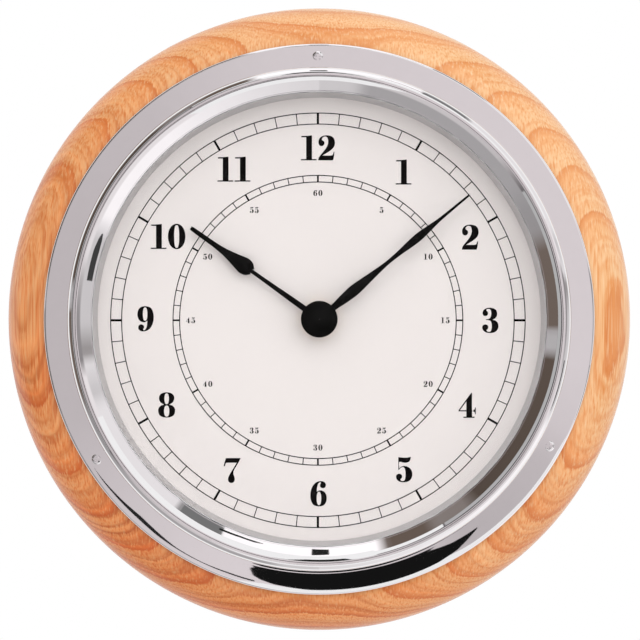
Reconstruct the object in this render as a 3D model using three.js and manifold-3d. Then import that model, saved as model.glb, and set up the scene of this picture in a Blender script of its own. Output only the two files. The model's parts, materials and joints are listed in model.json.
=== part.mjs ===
// Ship's clock on a round wooden base, as an assembly of separate pieces.
// Units are millimetres. Every piece is drawn as seen from the front: x right, y up, z out of the wall.
// The outer group then turns them so that +Z is up, the dial faces -Y and the wall is the plane y = 0.
import * as THREE from 'three';
import { mergeVertices } from 'three/addons/utils/BufferGeometryUtils.js';
import Module from 'manifold-3d';

const wasm = await Module();
wasm.setup();

// Clearances
const seatGap = 0.1;
const slipGap = 0.2;
const runningGap = 0.1;
const wallGap = 0.3;
const toolPast = 1;

// Wooden base ring
const woodMargin = 10;
const woodThickness = 24;
const woodEdgeRounding = 12;
const woodBackRounding = 1.5;
const woodBoreGap = 1;

// Case: drum, neck and flange turned in one piece
const neckWall = 1.8;
const neckRise = 2.5;
const drumWall = 1.4;
const drumSetback = 2;
const dialDepth = 10.2;
const ledgeWidth = 2.2;
const ledgeThickness = 1.4;
const flangeWidth = 11;
const flangeEdge = 1.8;
const flangeEdgeRounding = 0.9;
const flangeRise = 1.1;
const coveWidth = 0.7;
const coveRise = 0.3;
const grooveWidth = 0.2;
const bezelSeatHeight = 2.2;

// Bezel and glass
const bezelWall = 4.1;
const bezelRimRounding = 2;
const bezelCrestWidth = 1.1;
const bezelCrestDrop = 0.05;
const taperRise = 2.5;
const lipOverhang = 0.4;
const lipThickness = 1.2;
const glassThickness = 1.5;
const glassChamfer = 0.3;
const gasketThickness = 0.6;

// Dial and its raised ring
const dialThickness = 0.8;
const dialOpening = 60.4;
const dialRingWidth = 1.6;
const dialRingTopWall = 0.45;

// Flange screws
const flangeScrewInset = 3.7;
const flangeScrewRadius = 0.9;
const flangeScrewHead = 1.8;
const flangeScrewSink = 1.1;
const flangeScrewDome = 0.45;
const flangeScrewLength = 15.5;
const crossSlotWidth = 0.5;
const crossSlotDepth = 0.8;
const flangeScrewTurns = { 12: 0.3, 8: 122.2, 4: 241.1 };

// Keyhole hanger
const hangerWidth = 36;
const hangerHeight = 12.8;
const hangerThickness = 1.3;
const hangerCorner = 1.5;
const hangerDrop = 1;
const keyholeRadius = 3.75;
const keyholeDrop = 1.9;
const keySlotWidth = 3.8;
const keySlotRise = 3.2;
const hangerPocketWidth = 9.6;
const hangerPocketHeight = 11.6;
const hangerPocketDepth = 7;
const hangerScrewInset = 4.8;
const hangerScrewRadius = 1.4;
const hangerScrewHead = 2.6;
const hangerScrewLength = 11;

// Hands
const minuteHandTurn = 50.9;
const hourHandTurn = 305;
const hourHandThickness = 0.5;
const minuteHandThickness = 0.4;
const handBossRadius = 3.9;
const handGap = 0.5;
const handSpacing = 1.5;
const hubCapRadius = 5;
const hubCapHeight = 2.5;
const hubCapEdge = 0.7;

// Fixing of the movement through the dial
const bushRadius = 3.3;
const bushWall = 0.85;
const bushHoleGap = 0.5;
const cushionRadius = 8;
const cushionThickness = 0.6;
const washerRadius = 4.8;
const washerThickness = 0.4;
const nutFlats = 8.6;
const nutThickness = 1.7;

// Movement housing
const housingCorner = 4;
const housingWall = 1.3;
const wheelRoom = 0.96;
const frontPlate = 1;
const rearPlate = 1.2;
const housingSplit = 7.4;
const bridgeThickness = 0.8;
const postRadius = 1.5;
const postInset = 4.5;
const postClearOfRib = 1;
const thirdBossLength = 2;
const secondsBossGap = 2;

// Battery
const batteryRadius = 7.1;
const batteryLength = 50.3;
const batteryNubRadius = 2.7;
const batteryNubLength = 1.2;
const batteryEdge = 0.6;
const contactRoom = 1.55;
const ribThickness = 1;
const contactThickness = 0.4;
const contactWidth = 7;
const contactReach = 4;

// Gear cutting, tooth sizes as shares of the module
const motionModule = 0.4;
const centreModule = 0.4;
const secondsModule = 0.4;
const rotorModule = 0.32;
const wheelFlank = [[-1.2, 0.82], [0.85, 0.36]];
const pinionFlank = [[-1.35, 0.52], [0, 0.6], [0.85, 0.12]];
const cannonTeeth = 10;
const minuteWheelTeeth = 30;
const minutePinionTeeth = 8;
const settingTeeth = 10;
const centreTeeth = 48;
const thirdPinionTeeth = 6;
const thirdTeeth = 45;
const secondsPinionTeeth = 6;
const secondsTeeth = 30;
const intermediatePinionTeeth = 6;
const intermediateTeeth = 36;
const rotorTeeth = 6;
const wheelThickness = 0.5;
const pinionThickness = 0.9;
const minuteWheelBearing = 60;
const settingBearing = 90;
const thirdBearing = 150;
const intermediateBearing = 30;
const rotorBearing = 0;

// Arbors
const hourPipeWall = 0.6;
const minuteArborRadius = 1.5;
const minuteTipRadius = 1.1;
const minuteTipLength = 2.1;
const centreSeatRadius = 1;
const pivotRadius = 0.45;
const secondsRodRadius = 0.4;
const studRadius = 0.6;
const bossRadius = 1.35;
const settingShaftRadius = 1.5;
const settingPivotRadius = 1;
const settingBossRadius = 2.5;
const knobRadius = 6.5;
const knobThickness = 1.5;
const knobRibs = 24;
const knobRibDepth = 0.25;

// Stepping motor and electronics
const magnetRadius = 2.9;
const magnetLength = 2;
const statorGap = 0.5;
const statorThickness = 1.2;
const statorLegWidth = 4;
const statorWidth = 16.5;
const statorAboveRotor = 17.4;
const coilRoom = 5.7;
const motorRoom = 1.6;
const statorSideWall = 1.3;
const statorYokeWall = 1.5;
const statorBelowRotor = 5.1;
const coreWidth = 3;
const bobbinWall = 0.3;
const bobbinFlange = 0.5;
const windingThickness = 0.45;
const boardWidth = 18.5;
const boardHeight = 10;
const boardThickness = 0.9;
const boardSideGap = 5;
const boardTopGap = 1;
const partInset = 3;
const chipSize = 4;
const chipThickness = 1.2;
const crystalRadius = 1;
const crystalLength = 6;
const crystalEndGap = 1.5;
const secondsRodShort = 3;

// Smoothness of turned pieces
const largeSides = 48;
const mediumSides = 24;
const smallSides = 16;
const pinSides = 10;

// Levels of the case, worked outwards from the wall
const flangeBack = woodThickness + seatGap;
const flangeEdgeTop = flangeBack + flangeEdge;
const flangeTop = flangeEdgeTop + flangeRise;
const bezelSeat = flangeBack + bezelSeatHeight;
const neckTop = bezelSeat + neckRise;
const ledgeTop = neckTop - dialDepth;
const ledgeBack = ledgeTop - ledgeThickness;
const dialBack = ledgeTop + seatGap;
const dialFront = dialBack + dialThickness;
const gasketBack = neckTop + seatGap;
const glassBack = gasketBack + gasketThickness + seatGap;
const lipBack = glassBack + glassThickness + seatGap;
const lipTop = lipBack + lipThickness;
const bezelTop = lipTop + taperRise;

// Radii of the case, worked outwards from the dial's opening
const dialRingRadius = dialOpening + dialRingWidth;
const neckBore = dialRingRadius + slipGap;
const neckRadius = neckBore + neckWall;
const drumBore = neckBore - ledgeWidth;
const drumRadius = drumBore + drumWall;
const flangeRadius = neckRadius + flangeWidth;
const woodBore = neckRadius + woodBoreGap;
const woodRadius = flangeRadius + woodMargin;
const bezelBore = neckRadius + wallGap;
const bezelRadius = bezelBore + bezelWall;
const grooveRadius = bezelRadius + grooveWidth;
const coveRadius = grooveRadius + coveWidth;
const lipRadius = neckBore - lipOverhang;
const glassRadius = neckRadius - runningGap;
const flangeScrewCircle = flangeRadius - flangeScrewInset;
const hangerCentre = (woodBore + woodRadius) / 2 - hangerDrop;
const hangerScrewSpread = hangerWidth / 2 - hangerScrewInset;

// Levels of the movement and the hands
const cushionBack = dialBack - seatGap - cushionThickness;
const housingFront = cushionBack - seatGap;
const plateInner = housingFront - frontPlate;
const batteryLevel = plateInner - slipGap - batteryRadius;
const housingRear = batteryLevel - batteryRadius - runningGap;
const coverInner = housingRear + rearPlate;
const splitLevel = housingRear + housingSplit;
const washerBack = dialFront + seatGap;
const nutBack = washerBack + washerThickness + seatGap;
const bushTop = nutBack + nutThickness + seatGap;
const hourHandBack = bushTop + handGap;
const minuteHandBack = hourHandBack + hourHandThickness + handSpacing;
const hubCapBack = minuteHandBack + minuteHandThickness + seatGap;

// Radii round the hand arbor
const hourPipeBore = minuteArborRadius + runningGap;
const hourPipeRadius = hourPipeBore + hourPipeWall;
const bushBore = bushRadius - bushWall;
const pivotHole = pivotRadius + runningGap;

// Levels of the wheels: the motion work hangs from the front plate, the train stands on the bridge
const bridgeBack = splitLevel + seatGap;
const bridgeFront = bridgeBack + bridgeThickness;
const secondsPinionBack = bridgeFront + slipGap;
const thirdWheelBack = secondsPinionBack + slipGap;
const centreWheelBack = thirdWheelBack + wheelThickness + 3 * slipGap;
const thirdPinionBack = centreWheelBack - slipGap;
const cannonBack = centreWheelBack + wheelThickness + 3.5 * slipGap;
const minuteWheelBack = cannonBack + slipGap;
const minutePinionBack = minuteWheelBack + wheelThickness + runningGap;
const hourWheelBack = minutePinionBack + wheelThickness - slipGap;
const hourWheelThickness = pinionThickness - runningGap;
const intermediateBack = bridgeBack - 3.5 * wheelThickness;
const intermediatePinionBack = intermediateBack - 2 * wheelThickness - 2 * slipGap;
const secondsWheelBack = intermediatePinionBack + slipGap;
const magnetBack = coverInner + wheelThickness * 2;
const statorBack = magnetBack + slipGap;

// Places of the wheel axes, each [x, y] from the centre of the dial
const thirdModule = centreModule * (thirdPinionTeeth + centreTeeth) / (secondsPinionTeeth + thirdTeeth);
const centreAxis = [0, 0];
const minuteAxis = axisFrom(centreAxis, minuteWheelBearing, cannonTeeth + minuteWheelTeeth, motionModule);
const settingAxis = axisFrom(minuteAxis, settingBearing, minuteWheelTeeth + settingTeeth, motionModule);
const thirdAxis = axisFrom(centreAxis, thirdBearing, centreTeeth + thirdPinionTeeth, centreModule);
const intermediateAxis = axisFrom(
  centreAxis, intermediateBearing, secondsTeeth + intermediatePinionTeeth, secondsModule,
);
const rotorAxis = axisFrom(intermediateAxis, rotorBearing, intermediateTeeth + rotorTeeth, rotorModule);

// Angles of one tooth on each wheel, so that every pair is in mesh at rest
const minuteWheelPhase = meshPhase(cannonTeeth, 0, minuteWheelTeeth, minuteWheelBearing);
const settingPhase = meshPhase(minuteWheelTeeth, minuteWheelPhase, settingTeeth, settingBearing);
const hourWheelTeeth = 4 * minutePinionTeeth;
const hourWheelPhase = meshPhase(
  minutePinionTeeth, minuteWheelPhase, hourWheelTeeth, minuteWheelBearing + 180,
);
const thirdPhase = meshPhase(centreTeeth, 0, thirdPinionTeeth, thirdBearing);
const secondsPhase = meshPhase(thirdTeeth, thirdPhase, secondsPinionTeeth, thirdBearing + 180);
const intermediatePhase = meshPhase(
  secondsTeeth, secondsPhase, intermediatePinionTeeth, intermediateBearing,
);
const rotorPhase = meshPhase(intermediateTeeth, intermediatePhase, rotorTeeth, rotorBearing);

// Stepping motor and battery places
const statorTop = rotorAxis[1] + statorAboveRotor;
const statorBottom = rotorAxis[1] - statorBelowRotor;
const coilCentreY = statorTop - coreWidth / 2;
const statorLeft = rotorAxis[0] - magnetRadius - statorGap - statorSideWall;
const statorRight = statorLeft + statorWidth;
const statorFront = statorBack + statorThickness;
const coreBack = statorFront + seatGap;
const coreLevel = coreBack + statorThickness / 2;
const bobbinBore = Math.hypot(coreWidth, statorThickness) / 2 + slipGap;
const bobbinRadius = bobbinBore + bobbinWall;
const windingBore = bobbinRadius + seatGap;
const windingRadius = windingBore + windingThickness;
const centreWheelTip = (centreTeeth / 2 + wheelFlank.at(-1)[0]) * centreModule;
const ribTop = -centreWheelTip - wheelRoom;
const ribBottom = ribTop - ribThickness;
const batteryTop = ribBottom - wallGap;
const batteryDrop = batteryRadius - batteryTop;
const innerSide = Math.max(batteryLength / 2 + contactRoom, statorRight + motorRoom);
const innerTop = statorTop + coilRoom;
const innerBottom = batteryTop - 2 * batteryRadius - wallGap;

// Shape helpers

function radians(degrees) {
  return THREE.MathUtils.degToRad(degrees);
}

function axisFrom(axis, bearing, teethSum, module) {
  const distance = teethSum * module / 2;
  return [
    axis[0] + distance * Math.cos(radians(bearing)),
    axis[1] + distance * Math.sin(radians(bearing)),
  ];
}

function meshPhase(teethA, phaseA, teethB, bearing) {
  const towards = radians(bearing);
  return towards + Math.PI - (teethA * (phaseA - towards) + Math.PI) / teethB;
}

// A piece turned on a lathe: profile is a list of [radius, z], starting and ending on the axis or closed
function turned(profile, sides) {
  const points = profile.map(([radius, z]) => new THREE.Vector2(radius, z));
  const onAxis = profile[0][0] === 0;
  if (THREE.ShapeUtils.area(points) < 0) {
    points.reverse();
  }
  if (!onAxis) {
    points.push(points[0].clone());
  }
  const geometry = new THREE.LatheGeometry(points, sides);
  geometry.rotateX(Math.PI / 2);
  return geometry;
}

// A plain pin or tube: turned between two levels
function pin(radius, back, front, sides = pinSides) {
  return turned([[0, back], [radius, back], [radius, front], [0, front]], sides);
}

function tube(bore, radius, back, front, sides = pinSides) {
  return turned([[bore, back], [radius, back], [radius, front], [bore, front]], sides);
}

// A flat piece cut from sheet: shape is its outline, from one level to another
function plate(shape, back, front, curveSegments = 6) {
  const options = { depth: front - back, bevelEnabled: false, curveSegments };
  const geometry = new THREE.ExtrudeGeometry(shape, options);
  geometry.translate(0, 0, back);
  return geometry;
}

function rectangle(left, bottom, right, top, corner = 0) {
  const shape = new THREE.Shape();
  if (corner === 0) {
    shape.moveTo(left, bottom);
    shape.lineTo(right, bottom);
    shape.lineTo(right, top);
    shape.lineTo(left, top);
    return shape;
  }
  shape.absarc(right - corner, bottom + corner, corner, -Math.PI / 2, 0, false);
  shape.absarc(right - corner, top - corner, corner, 0, Math.PI / 2, false);
  shape.absarc(left + corner, top - corner, corner, Math.PI / 2, Math.PI, false);
  shape.absarc(left + corner, bottom + corner, corner, Math.PI, 1.5 * Math.PI, false);
  return shape;
}

function addHole(shape, x, y, radius) {
  shape.holes.push(new THREE.Path().absarc(x, y, radius, 0, 2 * Math.PI, true));
  return shape;
}

function box(left, bottom, right, top, back, front) {
  return plate(rectangle(left, bottom, right, top), back, front);
}

function moved(geometry, [x, y], z = 0) {
  geometry.translate(x, y, z);
  return geometry;
}

function turnedAbout(geometry, degrees) {
  geometry.rotateZ(radians(degrees));
  return geometry;
}

// Booleans
function toSolid(geometry) {
  const bare = new THREE.BufferGeometry();
  bare.setAttribute('position', geometry.getAttribute('position').clone());
  if (geometry.index) {
    bare.setIndex(geometry.index.clone());
  }
  const merged = mergeVertices(bare, 1e-4);
  const corners = [];
  for (let i = 0; i < merged.index.count; i += 3) {
    const [a, b, c] = [merged.index.getX(i), merged.index.getX(i + 1), merged.index.getX(i + 2)];
    if (a !== b && b !== c && c !== a) {
      corners.push(a, b, c);
    }
  }
  const mesh = new wasm.Mesh({
    numProp: 3,
    vertProperties: new Float32Array(merged.getAttribute('position').array),
    triVerts: new Uint32Array(corners),
  });
  return new wasm.Manifold(mesh);
}

function toGeometry(solid) {
  const mesh = solid.getMesh();
  const geometry = new THREE.BufferGeometry();
  geometry.setAttribute('position', new THREE.BufferAttribute(mesh.vertProperties, 3));
  geometry.setIndex(new THREE.BufferAttribute(mesh.triVerts, 1));
  geometry.computeVertexNormals();
  return geometry;
}

function joined(first, ...others) {
  return toGeometry(others.reduce((solid, other) => solid.add(toSolid(other)), toSolid(first)));
}

function cut(first, ...tools) {
  return toGeometry(tools.reduce((solid, tool) => solid.subtract(toSolid(tool)), toSolid(first)));
}

// Wooden base ring, with the hanger's recess and pocket in its back

function woodRing() {
  const profile = [
    [woodBore, 0],
    [woodRadius - woodBackRounding, 0],
    [woodRadius, woodBackRounding],
  ];
  const steps = 6;
  for (let step = 0; step <= steps; step += 1) {
    const angle = step / steps * Math.PI / 2;
    profile.push([
      woodRadius - woodEdgeRounding * (1 - Math.cos(angle)),
      woodThickness - woodEdgeRounding * (1 - Math.sin(angle)),
    ]);
  }
  profile.push([woodBore, woodThickness]);
  const screwPilots = Object.values(flangeScrewTurns).map((turn) => flangeScrewPlaced(
    pin(flangeScrewRadius + runningGap, flangeScrewTip() - wallGap, woodThickness + toolPast), turn));
  const recess = box(
    -hangerWidth / 2 - wallGap, hangerCentre - hangerHeight / 2 - wallGap,
    hangerWidth / 2 + wallGap, hangerCentre + hangerHeight / 2 + wallGap,
    -toolPast, hangerFront() + wallGap,
  );
  const pocket = box(
    -hangerPocketWidth / 2, hangerCentre - hangerPocketHeight / 2,
    hangerPocketWidth / 2, hangerCentre + hangerPocketHeight / 2,
    0, hangerFront() + hangerPocketDepth,
  );
  const hangerPilots = [-1, 1].map((side) => moved(
    pin(hangerScrewRadius + runningGap, 0, hangerScrewTip() + wallGap),
    [side * hangerScrewSpread, hangerCentre]));
  return cut(turned(profile, largeSides), ...screwPilots, recess, pocket, ...hangerPilots);
}

// Case: rear drum, ledge for the dial, neck, bezel seat and flange

function caseBody() {
  const profile = [
    [drumRadius, drumSetback],
    [drumRadius, ledgeBack],
    [neckRadius, ledgeBack],
    [neckRadius, flangeBack],
    [flangeRadius, flangeBack],
    [flangeRadius, flangeEdgeTop - flangeEdgeRounding],
    [flangeRadius - flangeEdgeRounding * 0.3, flangeEdgeTop - flangeEdgeRounding * 0.3],
    [flangeRadius - flangeEdgeRounding, flangeEdgeTop],
    [coveRadius, flangeTop],
    [grooveRadius, flangeTop + coveRise],
    [grooveRadius, bezelSeat],
    [neckRadius, bezelSeat],
    [neckRadius, neckTop],
    [neckBore, neckTop],
    [neckBore, ledgeTop],
    [drumBore, ledgeTop],
    [drumBore, drumSetback],
  ];
  const holes = Object.values(flangeScrewTurns).map(
    (turn) => flangeScrewPlaced(flangeScrewHole(), turn));
  return cut(turned(profile, largeSides), ...holes);
}

function bezelRing() {
  const bottom = bezelSeat + seatGap;
  const rimSteps = 4;
  const rim = [];
  for (let step = 0; step <= rimSteps; step += 1) {
    const turn = (step / rimSteps) * (Math.PI / 2);
    rim.push([
      bezelRadius - bezelRimRounding * (1 - Math.cos(turn)),
      bezelTop - bezelRimRounding * (1 - Math.sin(turn)),
    ]);
  }
  return turned([
    [bezelBore, bottom],
    [bezelRadius, bottom],
    ...rim,
    [bezelRadius - bezelRimRounding - bezelCrestWidth, bezelTop - bezelCrestDrop],
    [lipRadius + lipThickness, lipTop + lipThickness * 0.4],
    [lipRadius, lipTop - lipThickness * 0.3],
    [lipRadius, lipBack],
    [bezelBore, lipBack],
  ], largeSides);
}

function glass() {
  const front = glassBack + glassThickness;
  return turned([
    [0, glassBack],
    [glassRadius, glassBack],
    [glassRadius, front - glassChamfer],
    [glassRadius - glassChamfer, front],
    [0, front],
  ], largeSides);
}

function glassGasket() {
  const bore = lipRadius + runningGap;
  return tube(bore, neckRadius, gasketBack, gasketBack + gasketThickness, largeSides);
}

function dialRing() {
  return turned([
    [dialOpening, dialFront + seatGap],
    [dialRingRadius, dialFront + seatGap],
    [dialRingRadius, neckTop - seatGap],
    [dialRingRadius - dialRingTopWall, neckTop - seatGap],
  ], largeSides);
}

function dial() {
  return tube(bushRadius + bushHoleGap, neckBore - wallGap, dialBack, dialFront, largeSides);
}

// Flange screws: oval heads sunk into the flange, with a cross slot

function flangeFaceLevel() {
  const coneWidth = flangeRadius - flangeEdgeRounding - coveRadius;
  const share = (flangeScrewInset - flangeEdgeRounding) / coneWidth;
  return flangeEdgeTop + flangeRise * share;
}

function flangeScrewTip() {
  return flangeFaceLevel() - flangeScrewLength;
}

function flangeScrewPlaced(geometry, turn) {
  return turnedAbout(moved(geometry, [0, flangeScrewCircle]), turn);
}

function flangeScrewHole() {
  const face = flangeFaceLevel();
  const shank = flangeScrewRadius + runningGap;
  return turned([
    [0, flangeBack - toolPast],
    [shank, flangeBack - toolPast],
    [shank, face - flangeScrewSink],
    [flangeScrewHead + runningGap, face - flangeScrewSink * 0.25],
    [flangeScrewHead + runningGap, face + toolPast],
    [0, face + toolPast],
  ], smallSides);
}

function flangeScrew() {
  const face = flangeFaceLevel();
  const top = face + flangeScrewDome;
  const body = turned([
    [0, flangeScrewTip()],
    [flangeScrewRadius, flangeScrewTip() + 2 * flangeScrewRadius],
    [flangeScrewRadius, face - flangeScrewSink + runningGap],
    [flangeScrewHead, face - flangeScrewSink * 0.25 + runningGap],
    [flangeScrewHead, face],
    [flangeScrewHead * 0.75, face + flangeScrewDome * 0.6],
    [0, top],
  ], smallSides);
  const arm = flangeScrewHead * 0.65;
  const half = crossSlotWidth / 2;
  const slots = [
    box(-arm, -half, arm, half, top - crossSlotDepth, top + toolPast),
    box(-half, -arm, half, arm, top - crossSlotDepth, top + toolPast),
  ];
  return cut(body, ...slots);
}

// Keyhole hanger in the back of the wood

function hangerBack() {
  return seatGap;
}

function hangerFront() {
  return hangerBack() + hangerThickness;
}

function hangerScrewTip() {
  return hangerBack() + hangerScrewLength;
}

function hangerPlate() {
  const bottom = hangerCentre - hangerHeight / 2;
  const outline = rectangle(-hangerWidth / 2, bottom, hangerWidth / 2, bottom + hangerHeight, hangerCorner);
  const entryY = hangerCentre - keyholeDrop;
  const slotY = hangerCentre + keySlotRise;
  const slotHalf = keySlotWidth / 2;
  const opening = Math.asin(slotHalf / keyholeRadius);
  const keyhole = new THREE.Path();
  keyhole.absarc(0, entryY, keyholeRadius, Math.PI / 2 - opening, Math.PI / 2 + opening, true);
  keyhole.absarc(0, slotY, slotHalf, Math.PI, 0, true);
  outline.holes.push(keyhole);
  const sinks = [-1, 1].map((side) => moved(turned([
    [0, hangerBack() - toolPast],
    [hangerScrewHead + runningGap, hangerBack() - toolPast],
    [hangerScrewHead + runningGap, hangerBack() + slipGap],
    [hangerScrewRadius + runningGap, hangerFront()],
    [hangerScrewRadius + runningGap, hangerFront() + toolPast],
    [0, hangerFront() + toolPast],
  ], smallSides), [side * hangerScrewSpread, hangerCentre]));
  return cut(plate(outline, hangerBack(), hangerFront(), 6), ...sinks);
}

function hangerScrew() {
  const half = crossSlotWidth / 2;
  const arm = hangerScrewHead * 0.6;
  const body = turned([
    [0, hangerBack() + runningGap],
    [hangerScrewHead, hangerBack() + runningGap],
    [hangerScrewRadius, hangerFront() - runningGap],
    [hangerScrewRadius, hangerScrewTip() - 2 * hangerScrewRadius],
    [0, hangerScrewTip()],
  ], smallSides);
  const slots = [
    box(-arm, -half, arm, half, -toolPast, hangerBack() + crossSlotDepth),
    box(-half, -arm, half, arm, -toolPast, hangerBack() + crossSlotDepth),
  ];
  return cut(body, ...slots);
}

// Hands: each outline is a list of [distance from the centre, half width]

const hourHandOutline = [
  [0, 0.8], [8, 0.78], [21.5, 0.5], [22.3, 0.9], [23.4, 1.94], [24.5, 2.3], [25.6, 2.28],
  [27.7, 1.73], [29.9, 1.26], [32.1, 0.92], [35.4, 0.68], [41.9, 0.54], [42.6, 0.2],
];
const minuteHandOutline = [
  [0, 0.9], [6, 0.95], [8.2, 1.2], [11.4, 1.46], [13.6, 1.4], [18, 0.95], [22.3, 0.58],
  [25, 0.5], [28.8, 0.65], [31, 0.85], [33.2, 1.02], [35.4, 1.08], [37.5, 0.88], [39.7, 0.66],
  [43, 0.37], [52.4, 0.24], [52.7, 0.1],
];

function hand(outline, bore, back, front) {
  const right = outline.map(([distance, half]) => new THREE.Vector2(half, distance));
  const left = outline.map(([distance, half]) => new THREE.Vector2(-half, distance)).reverse();
  const blade = plate(new THREE.Shape([...right, ...left]), back, front);
  const boss = pin(handBossRadius, back, front, mediumSides);
  const hole = pin(bore, back - toolPast, front + toolPast, smallSides);
  return cut(joined(blade, boss), hole);
}

function hourHand() {
  return hand(
    hourHandOutline, hourPipeRadius + runningGap, hourHandBack, hourHandBack + hourHandThickness,
  );
}

function minuteHand() {
  return hand(
    minuteHandOutline, minuteTipRadius + runningGap, minuteHandBack, minuteHandBack + minuteHandThickness,
  );
}

function hubCap() {
  const bore = minuteTipRadius + runningGap;
  const tip = minuteHandBack + minuteTipLength + seatGap;
  const top = hubCapBack + hubCapHeight;
  const profile = [[0, tip], [bore, tip], [bore, hubCapBack], [hubCapRadius, hubCapBack]];
  const steps = 5;
  for (let step = 0; step < steps; step += 1) {
    const angle = step / steps * Math.PI / 2;
    profile.push([
      hubCapRadius * Math.cos(angle),
      hubCapBack + hubCapEdge + (hubCapHeight - hubCapEdge) * Math.sin(angle),
    ]);
  }
  profile.push([0, top]);
  return turned(profile, mediumSides);
}

// Fixing of the movement: cushion behind the dial, washer and nut in front

function cushionWasher() {
  const front = cushionBack + cushionThickness;
  return tube(bushRadius + bushHoleGap, cushionRadius, cushionBack, front, mediumSides);
}

function fixingWasher() {
  return tube(bushRadius + slipGap, washerRadius, washerBack, washerBack + washerThickness, mediumSides);
}

function fixingNut() {
  const corner = nutFlats / Math.sqrt(3);
  const corners = Array.from({ length: 6 }, (_, i) => new THREE.Vector2(
    corner * Math.cos(i * Math.PI / 3), corner * Math.sin(i * Math.PI / 3)));
  const outline = addHole(new THREE.Shape(corners), 0, 0, bushRadius + slipGap);
  return plate(outline, nutBack, nutBack + nutThickness, 12);
}

// Movement housing: front shell with bush and posts, rear cover, inner bridge

function postPlaces() {
  const edge = innerSide + housingWall - postInset;
  const high = innerTop + housingWall - postInset;
  const low = ribTop + postRadius + postClearOfRib;
  return [[-edge, high], [edge, high], [-edge, low], [edge, low]];
}

function housingOutline(margin) {
  const side = innerSide + margin;
  const corner = housingCorner - housingWall + margin;
  return rectangle(-side, innerBottom - margin, side, innerTop + margin, corner);
}

function housingTray(plateBack, plateFront, wallBack, wallFront) {
  const outline = housingOutline(housingWall);
  const wall = housingOutline(housingWall);
  wall.holes.push(housingOutline(0));
  const ribEnd = innerSide + housingWall / 2;
  const rib = box(-ribEnd, ribBottom, ribEnd, ribTop, wallBack, wallFront);
  return joined(plate(outline, plateBack, plateFront, 4), plate(wall, wallBack, wallFront, 4), rib);
}

function movementFrontHousing() {
  const tray = housingTray(plateInner, housingFront, splitLevel + wallGap, plateInner);
  const posts = postPlaces().map((place) => moved(
    pin(postRadius, bridgeFront + seatGap, plateInner), place));
  const stud = moved(pin(studRadius, minuteWheelBack - wallGap, plateInner), minuteAxis);
  const thirdBoss = moved(pin(bossRadius, thirdBossLevel(), plateInner), thirdAxis);
  const settingBoss = moved(
    pin(settingBossRadius, settingBossLevel(), plateInner, smallSides), settingAxis);
  const bush = pin(bushRadius, housingFront, bushTop, mediumSides);
  const bore = pin(bushBore, plateInner - toolPast, bushTop + toolPast, mediumSides);
  const thirdHole = moved(pin(pivotHole, thirdBossLevel() - toolPast, plateInner), thirdAxis);
  const settingHole = moved(
    pin(settingPivotRadius + runningGap, settingBossLevel() - toolPast, plateInner), settingAxis);
  return cut(joined(tray, ...posts, stud, thirdBoss, settingBoss, bush), bore, thirdHole, settingHole);
}

function thirdBossLevel() {
  return plateInner - thirdBossLength;
}

function settingBossLevel() {
  return cannonBack + pinionThickness + slipGap;
}

function movementRearCover() {
  const tray = housingTray(housingRear, coverInner, coverInner, splitLevel);
  const posts = postPlaces().map((place) => moved(pin(postRadius, coverInner, splitLevel), place));
  const pads = statorPads().map((place) => moved(pin(postRadius, coverInner, statorBack - seatGap), place));
  const bosses = [
    [centreAxis, secondsBossLevel()], [intermediateAxis, secondsBossLevel()], [rotorAxis, rotorBossLevel()],
  ];
  const bossPins = bosses.map(([axis, level]) => moved(pin(bossRadius, coverInner, level), axis));
  const bossHoles = bosses.map(([axis, level]) => moved(
    pin(pivotHole, pivotRear(), level + toolPast), axis));
  const knobHole = moved(
    pin(settingShaftRadius + runningGap, housingRear - toolPast, coverInner + toolPast, smallSides),
    settingAxis);
  const doorHalf = batteryLength / 2 + wallGap;
  const doorWay = box(
    -doorHalf, -batteryDrop - batteryRadius - slipGap, doorHalf, batteryTop + slipGap,
    housingRear - toolPast, coverInner + toolPast);
  return cut(joined(tray, ...posts, ...pads, ...bossPins), ...bossHoles, knobHole, doorWay);
}

function secondsBossLevel() {
  return secondsWheelBack - secondsBossGap;
}

function rotorBossLevel() {
  return magnetBack - slipGap;
}

function pivotRear() {
  return coverInner - rearPlate / 2;
}

function statorPads() {
  return [
    [statorRight - postRadius, statorBottom + postRadius],
    [statorLeft + postRadius, statorTop - coreWidth - postRadius],
    [statorRight - postRadius, statorTop - coreWidth - postRadius],
  ];
}

function trainBridge() {
  const side = innerSide - wallGap;
  const corner = housingCorner - housingWall;
  const outline = rectangle(-side, ribTop + wallGap, side, innerTop - wallGap, corner);
  addHole(outline, ...centreAxis, secondsPinionTeeth * thirdModule);
  addHole(outline, ...settingAxis, settingShaftRadius + slipGap);
  for (const axis of [thirdAxis, intermediateAxis, rotorAxis]) {
    addHole(outline, ...axis, pivotHole);
  }
  return plate(outline, bridgeBack, bridgeFront, 6);
}

// Wheels: toothed outlines, flank points from root to tip in modules

function gearOutline(teeth, module, flank) {
  const pitchRadius = teeth * module / 2;
  const points = [];
  const corner = (centre, height, half) => {
    const radius = pitchRadius + height * module;
    const angle = centre + half * module / radius;
    points.push(new THREE.Vector2(radius * Math.cos(angle), radius * Math.sin(angle)));
  };
  for (let tooth = 0; tooth < teeth; tooth += 1) {
    const centre = tooth * 2 * Math.PI / teeth;
    flank.forEach(([height, half]) => corner(centre, height, -half));
    [...flank].reverse().forEach(([height, half]) => corner(centre, height, half));
  }
  return new THREE.Shape(points);
}

function wheel(teeth, module, back, thickness = wheelThickness) {
  return plate(gearOutline(teeth, module, wheelFlank), back, back + thickness);
}

function pinion(teeth, module, back, thickness = pinionThickness) {
  return plate(gearOutline(teeth, module, pinionFlank), back, back + thickness);
}

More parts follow.
